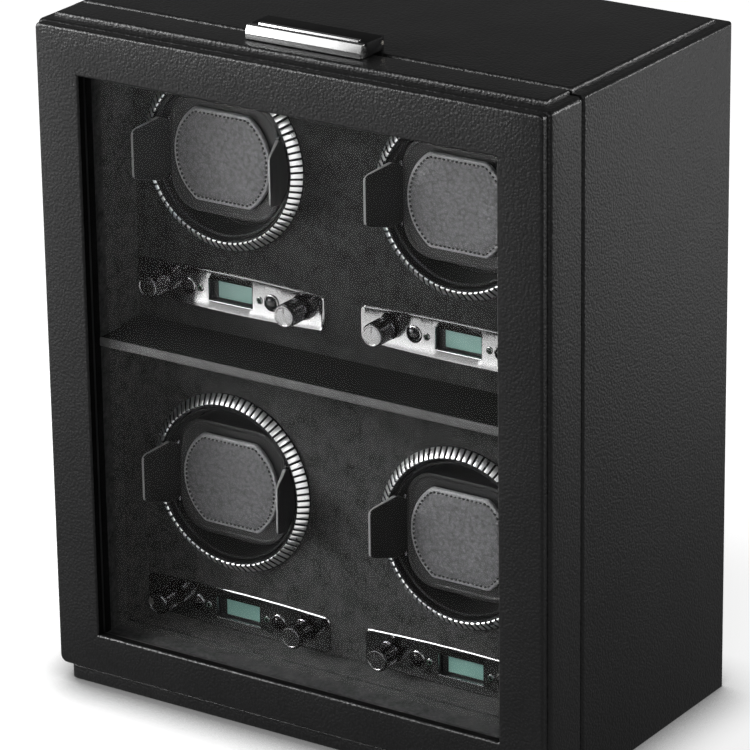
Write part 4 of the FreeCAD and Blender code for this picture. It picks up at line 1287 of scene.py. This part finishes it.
spread((("direction_knob", 0), ("turns_knob", 2 * KNOB)),
       ((grip, "grip", knob_chrome, "knob_plastic"), (cap, "cap", latch_chrome, "chrome")))
spread((("start_button", 0), ("delay_button", 2 * BUTTON)), ((dome, "dome", gloss_black, "button_plastic"),))
print("knobs and buttons on", len(HEADS), "plates")

# %% [markdown]
# ## The latch
# A flap hinged on the cabinet's top lies over the seam. Its front edge is a chrome bar that slopes back
# above a short upright band, with a narrower chrome ridge behind it. The bar starts as a block that is
# bisected along the band, and its upper front edge is moved back.


# %% Latch bar
def sloped(name, low, high, band, lean):
    """A block whose front leans back by a distance above the band's height."""
    piece = block(name, low, high)
    edit(piece)
    if band is not None:
        pick_all()
        bpy.ops.mesh.bisect(plane_co=at(0, 0, band), plane_no=(0, 0, 1))
    pick_edges(piece, lambda a, b: all(abs(p.z - high.z) < HAIR and abs(p.y - low.y) < HAIR for p in (a, b)))
    bpy.ops.transform.translate(value=(0, lean * MM, 0))
    leave()
    soften(piece, 0.35, 3, 15)
    return piece


bar = sloped("bar", at(-37, 21.5, 394.4), at(37, 27.5, 402), 397.4, 1.6)
carve(bar, block("channel", at(-40, 25.4, 400.6), at(40, 28, 403)))
ridge = sloped("ridge", at(-32, 26.5, 400), at(32, 29.5, 402.8), None, 0.7)
bar = joined("chrome_latch_bar", bar, ridge)
settle(bar, latch_chrome, "latch", "latch_metal", "latch_bar")
print(bar.name, len(bar.data.polygons), "faces")

# %% Latch flap
flap = block("black_latch_flap", at(-37, 27.5, 394.4), at(37, 43.5, 401.9))
bore = block("bore", at(-40, 40.75, 397.25), at(40, 43.25, 399.75))
carve(flap, block("pocket", at(-32, 37, 393), at(32, 45, 400.6)), bore)
soften(flap, 0.6, 3, 40)
settle(flap, drum_black_and_shade, "latch", "latch_metal", "latch_flap")
print(flap.name, len(flap.data.polygons), "faces")

# %% [markdown]
# ## The back
# Six countersunk screws hold the back panel, and a round socket takes the power lead. A screw is turned,
# its cross recess is cut by two blocks, and the other five are copies.

# %% Screws
screw = turned("back_screws_set", at(-154, 190, 40), [
    (0, 192), (1.5, 191.95), (2.4, 191.7), (3, 191.15), (3, 191), (1.5, 191), (1.5, 179), (0, 178),
], 28)
carve(screw, block("slot", at(-155.9, 191.35, 39.6), at(-152.1, 193, 40.4)),
      block("slot", at(-154.4, 191.35, 38.1), at(-153.6, 193, 41.9)))
smooth(screw, 35)
rows = [copied(screw, "screw", Vector((across, 0, up)) * MM)
        for across in (0, 308) for up in (0, 160, 320) if across or up]
screws = joined("back_screw_set", screw, *rows)
settle(screws, zinc, "cabinet", "steel", "back_screws")
print(screws.name, len(screws.data.polygons), "faces")

# %% Power socket
socket_heart = at(100, 190, 45)
socket = turned("power_socket", socket_heart, [
    (0, 183), (3.2, 183), (3.2, 191.4), (3.5, 191.9), (4.2, 192), (7.3, 192), (7.8, 191.8), (8, 191.3),
    (8, 191), (6, 191), (6, 178.5), (5.5, 178), (0, 178),
], 48, 35)
settle(socket, jack_black, "cabinet", "jack_plastic", "power_jack")
contact = turned("power_contact", socket_heart,
                 [(0, 190.6), (0.6, 190.5), (1, 190), (1, 182.5), (0, 182.5)], 20, 35)
settle(contact, nickel, "cabinet", "steel")
print(socket.name, len(socket.data.polygons), "faces")
